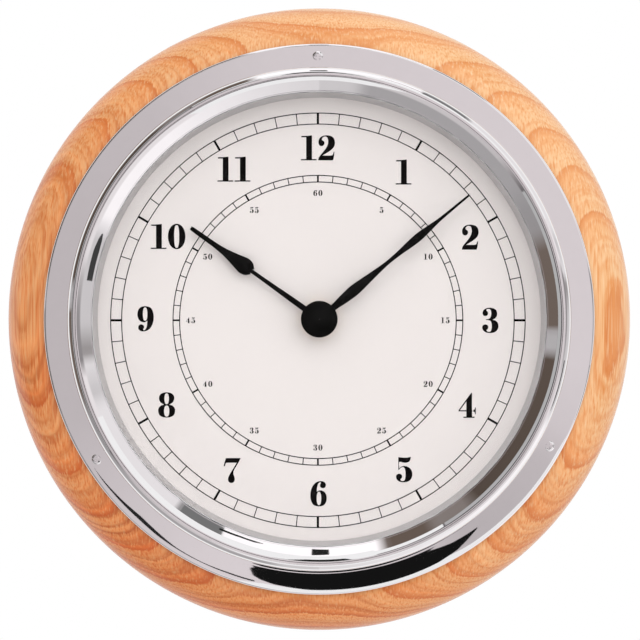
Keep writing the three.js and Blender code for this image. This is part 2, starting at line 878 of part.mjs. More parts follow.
function minuteArbor() {
  const rear = centreWheelBack - slipGap;
  const shoulder = cannonBack - slipGap;
  const rodTop = secondsRodTop() + slipGap;
  const arbor = turned([
    [0, rodTop],
    [secondsRodRadius + runningGap, rodTop],
    [secondsRodRadius + runningGap, rear],
    [centreSeatRadius, rear],
    [centreSeatRadius, shoulder],
    [minuteArborRadius, shoulder],
    [minuteArborRadius, minuteHandBack - seatGap],
    [minuteTipRadius, minuteHandBack - seatGap],
    [minuteTipRadius, minuteHandBack + minuteTipLength],
    [0, minuteHandBack + minuteTipLength],
  ], smallSides);
  const rodHole = pin(secondsRodRadius + runningGap, rear - toolPast, rodTop);
  return cut(joined(arbor, pinion(cannonTeeth, motionModule, cannonBack)), rodHole);
}

function hourWheel() {
  const pipeTop = hourHandBack + hourHandThickness + wallGap;
  const blank = wheel(hourWheelTeeth, motionModule, hourWheelBack, hourWheelThickness);
  const pipe = pin(hourPipeRadius, hourWheelBack, pipeTop, smallSides);
  const bore = pin(hourPipeBore, hourWheelBack - toolPast, pipeTop + toolPast, smallSides);
  return cut(joined(blank, pipe), bore);
}

function minuteWheel() {
  const pinionFront = minutePinionBack + hourWheelThickness + 2 * slipGap;
  const blank = joined(
    wheel(minuteWheelTeeth, motionModule, minuteWheelBack),
    pinion(minutePinionTeeth, motionModule, minuteWheelBack, pinionFront - minuteWheelBack));
  return cut(blank, pin(studRadius + runningGap, minuteWheelBack - toolPast, pinionFront + toolPast));
}

function settingKnob() {
  const knobFront = housingRear - wallGap;
  const knobBack = knobFront - knobThickness;
  const ribs = gearOutline(knobRibs, 2 * knobRadius / knobRibs, [
    [-knobRibDepth * knobRibs / (2 * knobRadius), 0.9], [0, 0.6],
  ]);
  const shaftTop = cannonBack + pinionThickness;
  return joined(
    plate(ribs, knobBack, knobFront),
    pin(settingShaftRadius, knobBack + knobThickness / 2, shaftTop - pinionThickness, smallSides),
    pinion(settingTeeth, motionModule, cannonBack),
    pin(settingPivotRadius, cannonBack, plateInner - wallGap));
}

function centreWheel() {
  const blank = joined(
    wheel(centreTeeth, centreModule, centreWheelBack),
    pin(2 * centreSeatRadius, centreWheelBack, cannonBack - 2 * slipGap, smallSides));
  const bore = pin(centreSeatRadius + runningGap, centreWheelBack - toolPast, cannonBack, smallSides);
  return cut(blank, bore);
}

function thirdWheel() {
  const pinionLength = thirdPinionBack + pinionThickness - thirdWheelBack;
  return joined(
    wheel(thirdTeeth, thirdModule, thirdWheelBack),
    pinion(thirdPinionTeeth, centreModule, thirdWheelBack, pinionLength),
    pin(pivotRadius, bridgeBack + runningGap, plateInner - slipGap));
}

function secondsRodTop() {
  return hourHandBack - secondsRodShort;
}

function secondsWheel() {
  return joined(
    wheel(secondsTeeth, secondsModule, secondsWheelBack),
    pin(2 * pivotRadius, secondsWheelBack - slipGap, secondsPinionBack),
    pinion(secondsPinionTeeth, thirdModule, secondsPinionBack),
    pin(secondsRodRadius, pivotRear() + runningGap, secondsRodTop()));
}

function intermediateWheel() {
  const pinionLength = intermediateBack - intermediatePinionBack;
  return joined(
    wheel(intermediateTeeth, rotorModule, intermediateBack),
    pinion(intermediatePinionTeeth, secondsModule, intermediatePinionBack, pinionLength),
    pin(pivotRadius, pivotRear() + runningGap, bridgeFront - runningGap));
}

function rotorPinion() {
  return joined(
    pinion(rotorTeeth, rotorModule, intermediateBack - runningGap, wheelThickness + 2 * runningGap),
    pin(pivotRadius, pivotRear() + runningGap, bridgeFront - runningGap));
}

function rotorMagnet() {
  return tube(pivotRadius + runningGap, magnetRadius, magnetBack, magnetBack + magnetLength, smallSides);
}

// Stepping motor: stator plate, core bar, bobbin and winding

function stator() {
  const shape = new THREE.Shape();
  const yoke = rotorAxis[1] + magnetRadius + statorGap + statorYokeWall;
  shape.moveTo(statorLeft, statorBottom);
  shape.lineTo(statorRight, statorBottom);
  shape.lineTo(statorRight, statorTop);
  shape.lineTo(statorRight - statorLegWidth, statorTop);
  shape.lineTo(statorRight - statorLegWidth, yoke);
  shape.lineTo(statorLeft + statorLegWidth, yoke);
  shape.lineTo(statorLeft + statorLegWidth, statorTop);
  shape.lineTo(statorLeft, statorTop);
  addHole(shape, ...rotorAxis, magnetRadius + statorGap);
  return plate(shape, statorBack, statorFront, 8);
}

function coilCore() {
  return box(
    statorLeft, coilCentreY - coreWidth / 2, statorRight, coilCentreY + coreWidth / 2,
    coreBack, coreBack + statorThickness);
}

function alongCoil(profile) {
  const geometry = turned(profile, smallSides);
  geometry.rotateY(Math.PI / 2);
  geometry.translate(0, coilCentreY, coreLevel);
  return geometry;
}

function bobbinEnds() {
  return [statorLeft + statorLegWidth + wallGap, statorRight - statorLegWidth - wallGap];
}

function coilBobbin() {
  const [left, right] = bobbinEnds();
  const flange = windingRadius + slipGap;
  const [start, end] = [left + bobbinFlange, right - bobbinFlange];
  return alongCoil([
    [bobbinBore, left], [flange, left], [flange, start], [bobbinRadius, start],
    [bobbinRadius, end], [flange, end], [flange, right], [bobbinBore, right],
  ]);
}

function coilWinding() {
  const [left, right] = bobbinEnds();
  const start = left + bobbinFlange + seatGap;
  const end = right - bobbinFlange - seatGap;
  return alongCoil([
    [windingBore, start], [windingRadius, start], [windingRadius, end], [windingBore, end],
  ]);
}

// Electronics, on the back of the bridge

function boardPlace() {
  const left = -innerSide + boardSideGap;
  const top = innerTop - boardTopGap;
  return { left, top, right: left + boardWidth, bottom: top - boardHeight };
}

function circuitBoard() {
  const { left, top, right, bottom } = boardPlace();
  const front = bridgeBack - seatGap;
  return box(left, bottom, right, top, front - boardThickness, front);
}

function boardRear() {
  return bridgeBack - 2 * seatGap - boardThickness;
}

function clockChip() {
  const { left, top } = boardPlace();
  const [x, y] = [left + partInset, top - partInset - chipSize];
  return box(x, y, x + chipSize, y + chipSize, boardRear() - chipThickness, boardRear());
}

function quartzCrystal() {
  const { right, bottom } = boardPlace();
  const geometry = pin(crystalRadius, -crystalLength / 2, crystalLength / 2, smallSides);
  geometry.rotateY(Math.PI / 2);
  const x = right - crystalEndGap - crystalLength / 2;
  geometry.translate(x, bottom + partInset, boardRear() - crystalRadius);
  return geometry;
}

// Battery and its contact strips

function battery() {
  const shoulder = batteryLength / 2 - batteryNubLength;
  const geometry = turned([
    [0, -batteryLength / 2],
    [batteryRadius - batteryEdge, -batteryLength / 2],
    [batteryRadius, -batteryLength / 2 + batteryEdge],
    [batteryRadius, shoulder - batteryEdge],
    [batteryRadius - batteryEdge, shoulder],
    [batteryNubRadius, shoulder],
    [batteryNubRadius, batteryLength / 2],
    [0, batteryLength / 2],
  ], mediumSides);
  geometry.rotateY(Math.PI / 2);
  geometry.translate(0, -batteryDrop, batteryLevel);
  return geometry;
}

function contactStrip(side) {
  const inner = batteryLength / 2 + slipGap;
  const outer = innerSide - seatGap;
  const shape = new THREE.Shape();
  const low = batteryLevel - contactReach;
  const high = plateInner - seatGap;
  shape.moveTo(inner, low);
  shape.lineTo(inner + contactThickness, low);
  shape.lineTo(inner + contactThickness, high - contactThickness);
  shape.lineTo(outer, high - contactThickness);
  shape.lineTo(outer, high);
  shape.lineTo(inner, high);
  const geometry = plate(shape, -contactWidth / 2, contactWidth / 2);
  geometry.rotateX(Math.PI / 2);
  geometry.translate(0, -batteryDrop, 0);
  if (side < 0) {
    geometry.rotateZ(Math.PI);
    geometry.translate(0, -2 * batteryDrop, 0);
  }
  return geometry;
}

// Finishes
const oiledWood = { color: 0xe0985c, roughness: 0.35, metalness: 0 };
const polishedChrome = { color: 0xc8c6c8, roughness: 0.08, metalness: 1 };
const clearGlass = { color: 0xf4f8f8, roughness: 0.02, metalness: 0, transparent: true, opacity: 0.18 };
const blackRubber = { color: 0x202020, roughness: 0.8, metalness: 0 };
const satinGrey = { color: 0xb9b6b6, roughness: 0.45, metalness: 0.6 };
const whiteDial = { color: 0xf0e9e8, roughness: 0.6, metalness: 0 };
const satinBlack = { color: 0x141414, roughness: 0.4, metalness: 0.1 };
const brass = { color: 0xc9a050, roughness: 0.3, metalness: 1 };
const steel = { color: 0x9a9ca0, roughness: 0.35, metalness: 1 };
const zincSteel = { color: 0xb4b6b8, roughness: 0.4, metalness: 1 };
const blackPlastic = { color: 0x1c1c1e, roughness: 0.55, metalness: 0 };
const whitePlastic = { color: 0xe6e4dc, roughness: 0.5, metalness: 0 };
const copperWire = { color: 0xb4612c, roughness: 0.35, metalness: 0.9 };
const greenBoard = { color: 0x1d6a3a, roughness: 0.5, metalness: 0 };
const batterySleeve = { color: 0x2f4a63, roughness: 0.35, metalness: 0.2 };
const magnetGrey = { color: 0x4a4a4e, roughness: 0.5, metalness: 0.6 };

// Assembly
const clock = new THREE.Group();
const facing = new THREE.Group();
facing.rotation.x = Math.PI / 2;
clock.add(facing);

function place(name, geometry, finish, [x, y] = [0, 0], angle = 0) {
  const mesh = new THREE.Mesh(geometry, new THREE.MeshStandardMaterial(finish));
  mesh.name = name;
  mesh.position.set(x, y, 0);
  mesh.rotation.z = angle;
  facing.add(mesh);
}

place('wood_ring', woodRing(), oiledWood);
place('case_body', caseBody(), polishedChrome);
place('bezel_ring', bezelRing(), polishedChrome);
place('glass', glass(), clearGlass);
place('glass_gasket', glassGasket(), blackRubber);
place('dial_ring', dialRing(), satinGrey);
place('dial', dial(), whiteDial);

for (const [clock, turn] of Object.entries(flangeScrewTurns)) {
  place(`flange_screw_${clock}`, flangeScrewPlaced(flangeScrew(), turn), polishedChrome);
}

place('hanger_plate', hangerPlate(), zincSteel);
place('hanger_screw_left', hangerScrew(), zincSteel, [-hangerScrewSpread, hangerCentre]);
place('hanger_screw_right', hangerScrew(), zincSteel, [hangerScrewSpread, hangerCentre]);

place('hour_hand', hourHand(), satinBlack, centreAxis, -radians(hourHandTurn));
place('minute_hand', minuteHand(), satinBlack, centreAxis, -radians(minuteHandTurn));
place('hub_cap', hubCap(), satinBlack);
place('cushion_washer', cushionWasher(), blackRubber);
place('fixing_washer', fixingWasher(), brass);
place('fixing_nut', fixingNut(), brass);

place('movement_front_housing', movementFrontHousing(), blackPlastic);
place('movement_rear_cover', movementRearCover(), blackPlastic);
place('train_bridge', trainBridge(), whitePlastic);

place('minute_arbor', minuteArbor(), steel);
place('minute_wheel', minuteWheel(), whitePlastic, minuteAxis, minuteWheelPhase);
place('hour_wheel', hourWheel(), whitePlastic, centreAxis, hourWheelPhase);
place('setting_knob', settingKnob(), whitePlastic, settingAxis, settingPhase);
place('centre_wheel', centreWheel(), whitePlastic);
place('third_wheel', thirdWheel(), whitePlastic, thirdAxis, thirdPhase);
place('seconds_wheel', secondsWheel(), whitePlastic, centreAxis, secondsPhase);
place('intermediate_wheel', intermediateWheel(), whitePlastic, intermediateAxis, intermediatePhase);
place('rotor_pinion', rotorPinion(), whitePlastic, rotorAxis, rotorPhase);
place('rotor_magnet', rotorMagnet(), magnetGrey, rotorAxis);

place('stator', stator(), steel);
place('coil_core', coilCore(), steel);
place('coil_bobbin', coilBobbin(), whitePlastic);
place('coil_winding', coilWinding(), copperWire);
place('circuit_board', circuitBoard(), greenBoard);
place('clock_chip', clockChip(), blackPlastic);
place('quartz_crystal', quartzCrystal(), steel);
place('battery', battery(), batterySleeve);
place('battery_contact_plus', contactStrip(1), zincSteel);
place('battery_contact_minus', contactStrip(-1), zincSteel);

export default clock;
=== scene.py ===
# %% [markdown]
# # A ship's clock on a round wooden base
#
# A ship's clock is a stack of turned rings: a wooden base ring, a chromed case with a wide
# flange, a bezel that holds the glass, and a white dial with two black hands. A battery
# movement sits behind the dial. The imported CAD model gives every size and every joint.
# This lesson dresses it: each step models one piece or mixes one finish.

import json
import math

import bpy
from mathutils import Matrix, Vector


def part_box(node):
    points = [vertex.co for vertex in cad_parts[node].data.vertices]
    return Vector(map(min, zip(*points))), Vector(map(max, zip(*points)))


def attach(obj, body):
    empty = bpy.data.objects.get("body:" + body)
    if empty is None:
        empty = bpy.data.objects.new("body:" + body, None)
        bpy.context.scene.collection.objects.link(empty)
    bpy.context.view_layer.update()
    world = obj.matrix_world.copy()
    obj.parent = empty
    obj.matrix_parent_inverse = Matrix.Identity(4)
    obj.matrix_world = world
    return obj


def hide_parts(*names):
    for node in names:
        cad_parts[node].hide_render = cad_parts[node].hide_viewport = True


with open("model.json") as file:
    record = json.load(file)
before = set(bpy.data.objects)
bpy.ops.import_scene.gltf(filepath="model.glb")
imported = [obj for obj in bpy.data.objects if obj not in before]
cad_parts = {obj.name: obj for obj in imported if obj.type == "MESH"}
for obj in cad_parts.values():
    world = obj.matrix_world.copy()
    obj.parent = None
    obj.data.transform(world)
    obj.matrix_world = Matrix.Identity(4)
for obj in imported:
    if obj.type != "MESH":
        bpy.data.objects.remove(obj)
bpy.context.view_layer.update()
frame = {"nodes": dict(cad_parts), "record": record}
slot_of = {part["node"]: part["material_slot"] for part in frame["record"]["subparts"]}
print("cad nodes", len(frame["nodes"]))

# %% [markdown]
# ## Levels and radii from the frame
#
# The clock hangs on a wall. Heights in this lesson are levels above the wall, and the wall is
# the plane y = 0, so a level of 20 mm is y = -0.02. Turned pieces are described by radius and
# level, as a turner would. Reading both from the frame keeps the looks on the CAD sizes.

# %% Levels and radii
MM = 0.001


def front_of(node):
    """Level of a node's front, in mm above the wall."""
    return -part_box(node)[0].y / MM


def back_of(node):
    """Level of a node's back, in mm above the wall."""
    return -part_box(node)[1].y / MM


def radius_of(node):
    """Half of a node's width, in mm."""
    low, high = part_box(node)
    return (high.x - low.x) / 2 / MM


def centre_of(node):
    """Middle of a node as (x, height, level), in mm."""
    middle = (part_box(node)[0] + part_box(node)[1]) / 2 / MM
    return middle.x, middle.z, -middle.y


for ring in ("wood_ring", "case_body", "bezel_ring", "glass", "dial_ring", "dial"):
    print(ring, round(radius_of(ring), 2), round(back_of(ring), 2), round(front_of(ring), 2))

# %% [markdown]
# ## Selecting and applying
#
# Blender's operators act on whatever is selected, and loading the frame leaves its nodes
# selected. So every step starts by clearing the selection. Modifiers are applied at once:
# a finished piece has its whole shape in its mesh.

# %% Selection and modifiers


def clear_selection():
    """Leave edit mode and select nothing."""
    if bpy.context.mode != "OBJECT":
        bpy.ops.object.mode_set(mode="OBJECT")
    bpy.ops.object.select_all(action="DESELECT")


def only(piece):
    """Select one piece and make it active."""
    clear_selection()
    piece.select_set(True)
    bpy.context.view_layer.objects.active = piece


def apply_modifier(piece, kind, **settings):
    """Add a modifier with these settings and apply it."""
    only(piece)
    modifier = piece.modifiers.new(kind.lower(), kind)
    for name, value in settings.items():
        setattr(modifier, name, value)
    bpy.ops.object.modifier_apply(modifier=modifier.name)


def close_seams(piece, gap=1e-6):
    """Merge doubled points and turn every face outwards."""
    only(piece)
    bpy.ops.object.mode_set(mode="EDIT")
    bpy.ops.mesh.select_all(action="SELECT")
    bpy.ops.mesh.remove_doubles(threshold=gap)
    bpy.ops.mesh.normals_make_consistent(inside=False)
    bpy.ops.object.mode_set(mode="OBJECT")


def settle(piece):
    """Put the piece's place into its mesh, so that its object is back at the origin."""
    only(piece)
    bpy.ops.object.transform_apply(location=True, rotation=True, scale=True)


def soften_edges(piece, width, segments, above):
    """Round every edge that is sharper than an angle in degrees; the width is in mm."""
    apply_modifier(
        piece,
        "BEVEL",
        width=width * MM,
        segments=segments,
        limit_method="ANGLE",
        angle_limit=math.radians(above),
    )


def finish_piece(piece, name, body, node=None, slot=None, finish=None, angle=30):
    """Name a piece, shade it, hang it on its body and give it its finish."""
    only(piece)
    bpy.ops.object.shade_smooth_by_angle(angle=math.radians(angle))
    piece.name = name
    piece.data.name = name
    piece.data.materials.clear()
    piece.data.materials.append(finish or finishes[slot or slot_of[node]])
    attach(piece, body)
    if node:
        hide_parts(node)
    print(name, len(piece.data.polygons), "faces")
    return piece


# %% [markdown]
# ## Mixing finishes
#
# Each finish is a small node tree around one Principled shader. A real surface is never one
# flat colour: paint has a faint mottle, plastic a spark-eroded grain, steel fine scratches.
# Small helpers keep each tree short enough to read.

# %% Node helpers


def new_finish(name):
    """A material with its node tree and its Principled shader."""
    material = bpy.data.materials.new(name)
    material.use_nodes = True
    return material, material.node_tree, material.node_tree.nodes["Principled BSDF"]


def add_node(tree, kind, settings=None, **inputs):
    """Add a shader node; an input is either a number or another node's socket."""
    made = tree.nodes.new("ShaderNode" + kind)
    for name, value in (settings or {}).items():
        setattr(made, name, value)
    for name, value in inputs.items():
        feed(tree, made.inputs[name.replace("_", " ")], value)
    return made


def feed(tree, socket, value):
    """Set a socket to a value, or link another socket to it."""
    if isinstance(value, bpy.types.NodeSocket):
        tree.links.new(value, socket)
    else:
        socket.default_value = value


def reckon(tree, operation, first, second=0.0, third=0.0):
    """A Math node's result."""
    made = add_node(tree, "Math", {"operation": operation})
    for socket, value in zip(made.inputs, (first, second, third)):
        feed(tree, socket, value)
    return made.outputs[0]


def between(tree, share, first, second):
    """Mix two colours by a share."""
    made = add_node(tree, "Mix", {"data_type": "RGBA"})
    feed(tree, made.inputs[0], share)
    feed(tree, made.inputs[6], first)
    feed(tree, made.inputs[7], second)
    return made.outputs[2]


def place_of(tree):
    """Object coordinates, which are metres in the clock's own frame."""
    return add_node(tree, "TexCoord").outputs["Object"]


def noise(tree, vector, scale, detail=2.0):
    """A soft random field from 0 to 1."""
    made = add_node(tree, "TexNoise", Vector=vector, Scale=scale, Detail=detail)
    return made.outputs["Fac"]


def colour(red, green, blue):
    """A colour for a socket, with its alpha."""
    return (red, green, blue, 1.0)


def relief(tree, shader, height, depth):
    """Let a height field, in the given depth in metres, tilt the surface."""
    bump = add_node(tree, "Bump", Strength=1.0, Distance=depth, Height=height)
    tree.links.new(bump.outputs["Normal"], shader.inputs["Normal"])


# %% [markdown]
# ## Everyday finishes
#
# Most hidden pieces are metal or moulded plastic. They share one recipe: a base colour with a
# slow mottle, a roughness that varies a little, and a fine grain in the relief. Only the
# numbers differ, so one function mixes them all, and the finishes that the photograph shows
# closely get their own trees further on.

# %% Everyday finishes
MOTTLE_SCALE = 60.0
FINE_DETAIL = 3.0
ROUGHNESS_FLOOR = 0.85
ROUGHNESS_SPREAD = 0.3


def grained(name, tint, shade, metal, dull, grain_size, grain_depth, shine=0.5):
    """A finish from its colour, mottle (shade), metallic share, roughness and grain in mm."""
    material, tree, shader = new_finish(name)
    place = place_of(tree)
    mottle = noise(tree, place, MOTTLE_SCALE)
    darker = colour(*(part * shade for part in tint))
    tree.links.new(between(tree, mottle, colour(*tint), darker), shader.inputs["Base Color"])
    grain = noise(tree, place, 1 / (grain_size * MM), FINE_DETAIL)
    spread, floor = ROUGHNESS_SPREAD * dull, ROUGHNESS_FLOOR * dull
    rough = reckon(tree, "MULTIPLY_ADD", grain, spread, floor)
    tree.links.new(rough, shader.inputs["Roughness"])
    shader.inputs["Metallic"].default_value = metal
    shader.inputs["Specular IOR Level"].default_value = shine
    relief(tree, shader, grain, grain_depth * MM)
    return material


finishes = {
    "black_plastic": grained("black_plastic", (0.022, 0.022, 0.024), 0.7, 0, 0.42, 0.25, 0.02),
    "white_plastic": grained("white_plastic", (0.78, 0.77, 0.73), 0.94, 0, 0.4, 0.3, 0.01),
    "black_rubber": grained("black_rubber", (0.02, 0.02, 0.02), 0.7, 0, 0.75, 0.2, 0.02),
    "brass": grained("brass", (0.79, 0.57, 0.26), 0.85, 1, 0.28, 0.15, 0.004),
    "steel": grained("steel", (0.56, 0.56, 0.58), 0.85, 1, 0.3, 0.15, 0.004),
    "zinc_steel": grained("zinc_steel", (0.62, 0.64, 0.67), 0.8, 1, 0.36, 0.8, 0.01),
    "magnet_grey": grained("magnet_grey", (0.09, 0.09, 0.1), 0.8, 0.6, 0.5, 0.2, 0.01),
    "copper_wire": grained("copper_wire", (0.83, 0.36, 0.2), 0.75, 1, 0.25, 0.1, 0.02),
    "green_board": grained("green_board", (0.02, 0.15, 0.05), 0.75, 0, 0.35, 0.5, 0.01),
}
print("everyday finishes", sorted(finishes))

# %% [markdown]
# ## Polished chrome
#
# The flange and the bezel were spun in a lathe, polished and chromed. The plating is a mirror,
# so nearly all that the eye sees in it is the studio around. Two things give it away as real
# metal: very shallow waves left by the polishing wheel, and fine circles from the lathe. Both
# are far too small to model, so they go into the relief.

# %% Polished chrome
TURNING_CIRCLES = 4000.0
CIRCLE_HEIGHT = 0.01
POLISHING_WAVES = 45.0
WAVE_DEPTH = 0.00003
HAZE_SCALE = 300.0
MIRROR_ROUGHNESS = 0.015
HAZE_ROUGHNESS = 0.03
CLEAR_CHROME = (0.87, 0.86, 0.87)
HAZY_CHROME = (0.84, 0.83, 0.84)


def polished_chrome():
    """Mirror plating with polishing waves and faint turning circles."""
    material, tree, shader = new_finish("polished_chrome")
    place = place_of(tree)
    axes = add_node(tree, "SeparateXYZ", Vector=place)
    across = reckon(tree, "POWER", axes.outputs["X"], 2.0)
    upward = reckon(tree, "POWER", axes.outputs["Z"], 2.0)
    radius = reckon(tree, "SQRT", reckon(tree, "ADD", across, upward))
    circle_place = add_node(tree, "CombineXYZ", X=radius, Y=axes.outputs["Y"])
    circles = noise(tree, circle_place.outputs["Vector"], TURNING_CIRCLES)
    waves = noise(tree, place, POLISHING_WAVES)
    heights = reckon(tree, "MULTIPLY_ADD", circles, CIRCLE_HEIGHT, waves)
    haze = noise(tree, place, HAZE_SCALE)
    rough = reckon(tree, "MULTIPLY_ADD", haze, HAZE_ROUGHNESS, MIRROR_ROUGHNESS)
    tree.links.new(rough, shader.inputs["Roughness"])
    tint = between(tree, haze, colour(*CLEAR_CHROME), colour(*HAZY_CHROME))
    tree.links.new(tint, shader.inputs["Base Color"])
    shader.inputs["Metallic"].default_value = 1.0
    relief(tree, shader, heights, WAVE_DEPTH)
    return material


finishes["polished_chrome"] = polished_chrome()

# %% [markdown]
# ## Oiled wood
#
# The base ring is turned from one flat-sawn board of ash. A tree grows in layers round its
# pith, here a line 70 mm behind the wall. Where the board is flat, the layers show as upright
# lines. Where its edge is rounded, the tool cuts down through them, and each line turns over
# into an arch. So nothing has to be drawn: the distance from the pith line, counted off in
# layers, gives arches above and below and closed loops at both sides. In ash each layer
# starts with a sharp line of open pores and fades to pale wood. Fine fibres run up the
# board. The colour also carries painted light and shade. It is paler and whiter to the upper
# right, where the key light falls, and darker with a stronger figure to the lower left. Random
# patches break up this gradient. A clear lacquer lies over all of it. Lengths in this tree are
# metres, as object coordinates are.

# %% Oiled wood
PITH_BEHIND = 0.070
LAYER = 0.0051
FIRST_LAYER = 0.0049
TWIST = 0.85
WOOD_TONES = [
    (0.0, (0.72, 0.22, 0.055)),
    (0.05, (0.79, 0.28, 0.085)),
    (0.16, (0.87, 0.37, 0.14)),
    (0.4, (0.90, 0.43, 0.18)),
    (0.7, (0.91, 0.47, 0.215)),
    (0.96, (0.89, 0.44, 0.19)),
    (1.0, (0.73, 0.23, 0.06)),
]
FIBRE_SCALE = 2200.0
FIBRE_STRETCH = 0.018
FIBRE_SHAKE = 0.0005
DRIFT_SCALE = 20.0
DRIFT = 0.008
LINE_SCALE = 1400.0
LINE_STRETCH = 0.03
LINE_CONTRAST = 4.0
LINE_TONE = (0.80, 0.28, 0.08)
PORE_CONTRAST = 4.2
PORE_TONE = (0.78, 0.27, 0.075)
GLEAM_BELOW = 0.47
GLEAM_CONTRAST = 3.4
GLEAM_TONE = (0.93, 0.57, 0.31)
# Painted light and shade on the wood: a paler, whiter upper right and a darker lower left.
PAINTED_LIGHT_TO_THE_RIGHT = 4.6
PAINTED_LIGHT_TO_THE_TOP = 4.1
PAINTED_LIGHT_OFFSET = 0.36
PATCH_SCALE = 30.0
PATCHINESS = 0.4
PAINTED_SHADE_STRENGTH = 1.5
PAINTED_SHADE_TINT = (0.82, 0.82, 0.86)
FIGURE = 0.9
FIGURE_MIDDLE = 0.48
PAINTED_LIGHT_TINT = (1.0, 1.14, 1.24)
WOOD_ROUGHNESS = 0.35
FIBRE_ROUGHNESS = 0.2
FIBRE_DEPTH = 0.00004
WOOD_SHINE = 0.25
LACQUER = 0.6
LACQUER_ROUGHNESS = 0.14


def tone_ramp(tree, share, tones):
    """A colour ramp from (position, colour) pairs."""
    ramp = add_node(tree, "ValToRGB", Fac=share)
    stops = ramp.color_ramp.elements
    while len(stops) < len(tones):
        stops.new(0.5)
    for stop, (position, tone) in zip(stops, tones):
        stop.position = position
        stop.color = colour(*tone)
    return ramp.outputs["Color"]


def past(tree, field, start, steepness):
    """How far a field is past a start, times a steepness."""
    return reckon(tree, "MULTIPLY", reckon(tree, "SUBTRACT", field, start), steepness)


def oiled_wood():
    """Growth layers, fibres and pores under a clear lacquer."""
    material, tree, shader = new_finish("oiled_wood")
    place = place_of(tree)
    axes = add_node(tree, "SeparateXYZ", Vector=place)
    x, y, z = (axes.outputs[name] for name in "XYZ")
    aside = reckon(tree, "MULTIPLY", x, x)
    behind = reckon(tree, "SUBTRACT", y, PITH_BEHIND)
    depth = reckon(tree, "MULTIPLY", behind, behind)
    distance = reckon(tree, "SQRT", reckon(tree, "ADD", aside, depth))
    twist = reckon(tree, "MULTIPLY", reckon(tree, "MULTIPLY", x, z), -TWIST)
    fibre_place = add_node(tree, "Mapping", Vector=place, Scale=(1.0, 1.0, FIBRE_STRETCH))
    fibres = noise(tree, fibre_place.outputs["Vector"], FIBRE_SCALE)
    slow = noise(tree, place, DRIFT_SCALE, FINE_DETAIL)
    drift = reckon(tree, "MULTIPLY_ADD", slow, DRIFT, -DRIFT / 2)
    shaken = reckon(tree, "MULTIPLY_ADD", fibres, FIBRE_SHAKE, drift)
    age = reckon(tree, "ADD", reckon(tree, "ADD", distance, twist), shaken)
    count = reckon(tree, "DIVIDE", reckon(tree, "SUBTRACT", age, FIRST_LAYER), LAYER)
    layers = tone_ramp(tree, reckon(tree, "FRACT", count), WOOD_TONES)
    along = reckon(tree, "MULTIPLY", z, LINE_STRETCH)
    lines_place = add_node(tree, "CombineXYZ", X=age, Z=along)
    lines = noise(tree, lines_place.outputs["Vector"], LINE_SCALE)
    lined = between(tree, past(tree, lines, 0.5, LINE_CONTRAST), layers, colour(*LINE_TONE))
    pored = between(tree, past(tree, fibres, 0.5, PORE_CONTRAST), lined, colour(*PORE_TONE))
    below = reckon(tree, "SUBTRACT", GLEAM_BELOW, fibres)
    gleam = reckon(tree, "MULTIPLY", below, GLEAM_CONTRAST)
    gleaming = between(tree, gleam, pored, colour(*GLEAM_TONE))
    # Painted light and shade: paler and whiter towards the upper right, darker and more strongly
    # figured towards the lower left, mixed with random patches.
    toward_right = reckon(tree, "MULTIPLY", x, PAINTED_LIGHT_TO_THE_RIGHT)
    toward_top = reckon(tree, "MULTIPLY_ADD", z, PAINTED_LIGHT_TO_THE_TOP, PAINTED_LIGHT_OFFSET)
    patches = noise(tree, place, PATCH_SCALE)
    patches_and_painted_top_light = reckon(tree, "MULTIPLY_ADD", patches, PATCHINESS, toward_top)
    painted_light_and_patches = add_node(tree, "Clamp", Value=reckon(tree, "ADD", toward_right, patches_and_painted_top_light))
    painted_shade_gamma = reckon(tree, "MULTIPLY_ADD", painted_light_and_patches.outputs[0], 1 - PAINTED_SHADE_STRENGTH, PAINTED_SHADE_STRENGTH)
    painted_shade_node = add_node(tree, "Gamma", Color=gleaming, Gamma=painted_shade_gamma)
    painted_light_and_shade_tint = between(tree, painted_light_and_patches.outputs[0], colour(*PAINTED_SHADE_TINT), colour(*PAINTED_LIGHT_TINT))
    painted_light_and_shade_mix = add_node(tree, "Mix", {"data_type": "RGBA", "blend_type": "MULTIPLY"})
    painted_light_and_shade_mix.inputs[0].default_value = 1.0
    tree.links.new(painted_shade_node.outputs[0], painted_light_and_shade_mix.inputs[6])
    tree.links.new(painted_light_and_shade_tint, painted_light_and_shade_mix.inputs[7])
    figure_toward_painted_shade = reckon(tree, "MULTIPLY_ADD", painted_light_and_patches.outputs[0], FIGURE, -FIGURE)
    depth_of_tone = reckon(tree, "ADD", past(tree, lines, FIGURE_MIDDLE, figure_toward_painted_shade), 1.0)
    figured = add_node(tree, "VectorMath", {"operation": "SCALE"}, Scale=depth_of_tone)
    tree.links.new(painted_light_and_shade_mix.outputs[2], figured.inputs["Vector"])
    tree.links.new(figured.outputs["Vector"], shader.inputs["Base Color"])
    rough = reckon(tree, "MULTIPLY_ADD", fibres, FIBRE_ROUGHNESS, WOOD_ROUGHNESS)
    tree.links.new(rough, shader.inputs["Roughness"])
    shader.inputs["Specular IOR Level"].default_value = WOOD_SHINE
    shader.inputs["Coat Weight"].default_value = LACQUER
    shader.inputs["Coat Roughness"].default_value = LACQUER_ROUGHNESS
    relief(tree, shader, fibres, FIBRE_DEPTH)
    return material


finishes["oiled_wood"] = oiled_wood()

# %% [markdown]
# ## Dial paint, print, black lacquer and the satin ring
#
# The dial is sprayed warm white and screen printed in black. Only its face is sprayed: its
# back stays bare metal. The hands and the cap are lacquered black. The ring between dial and
# glass is brushed metal in a satin grey.

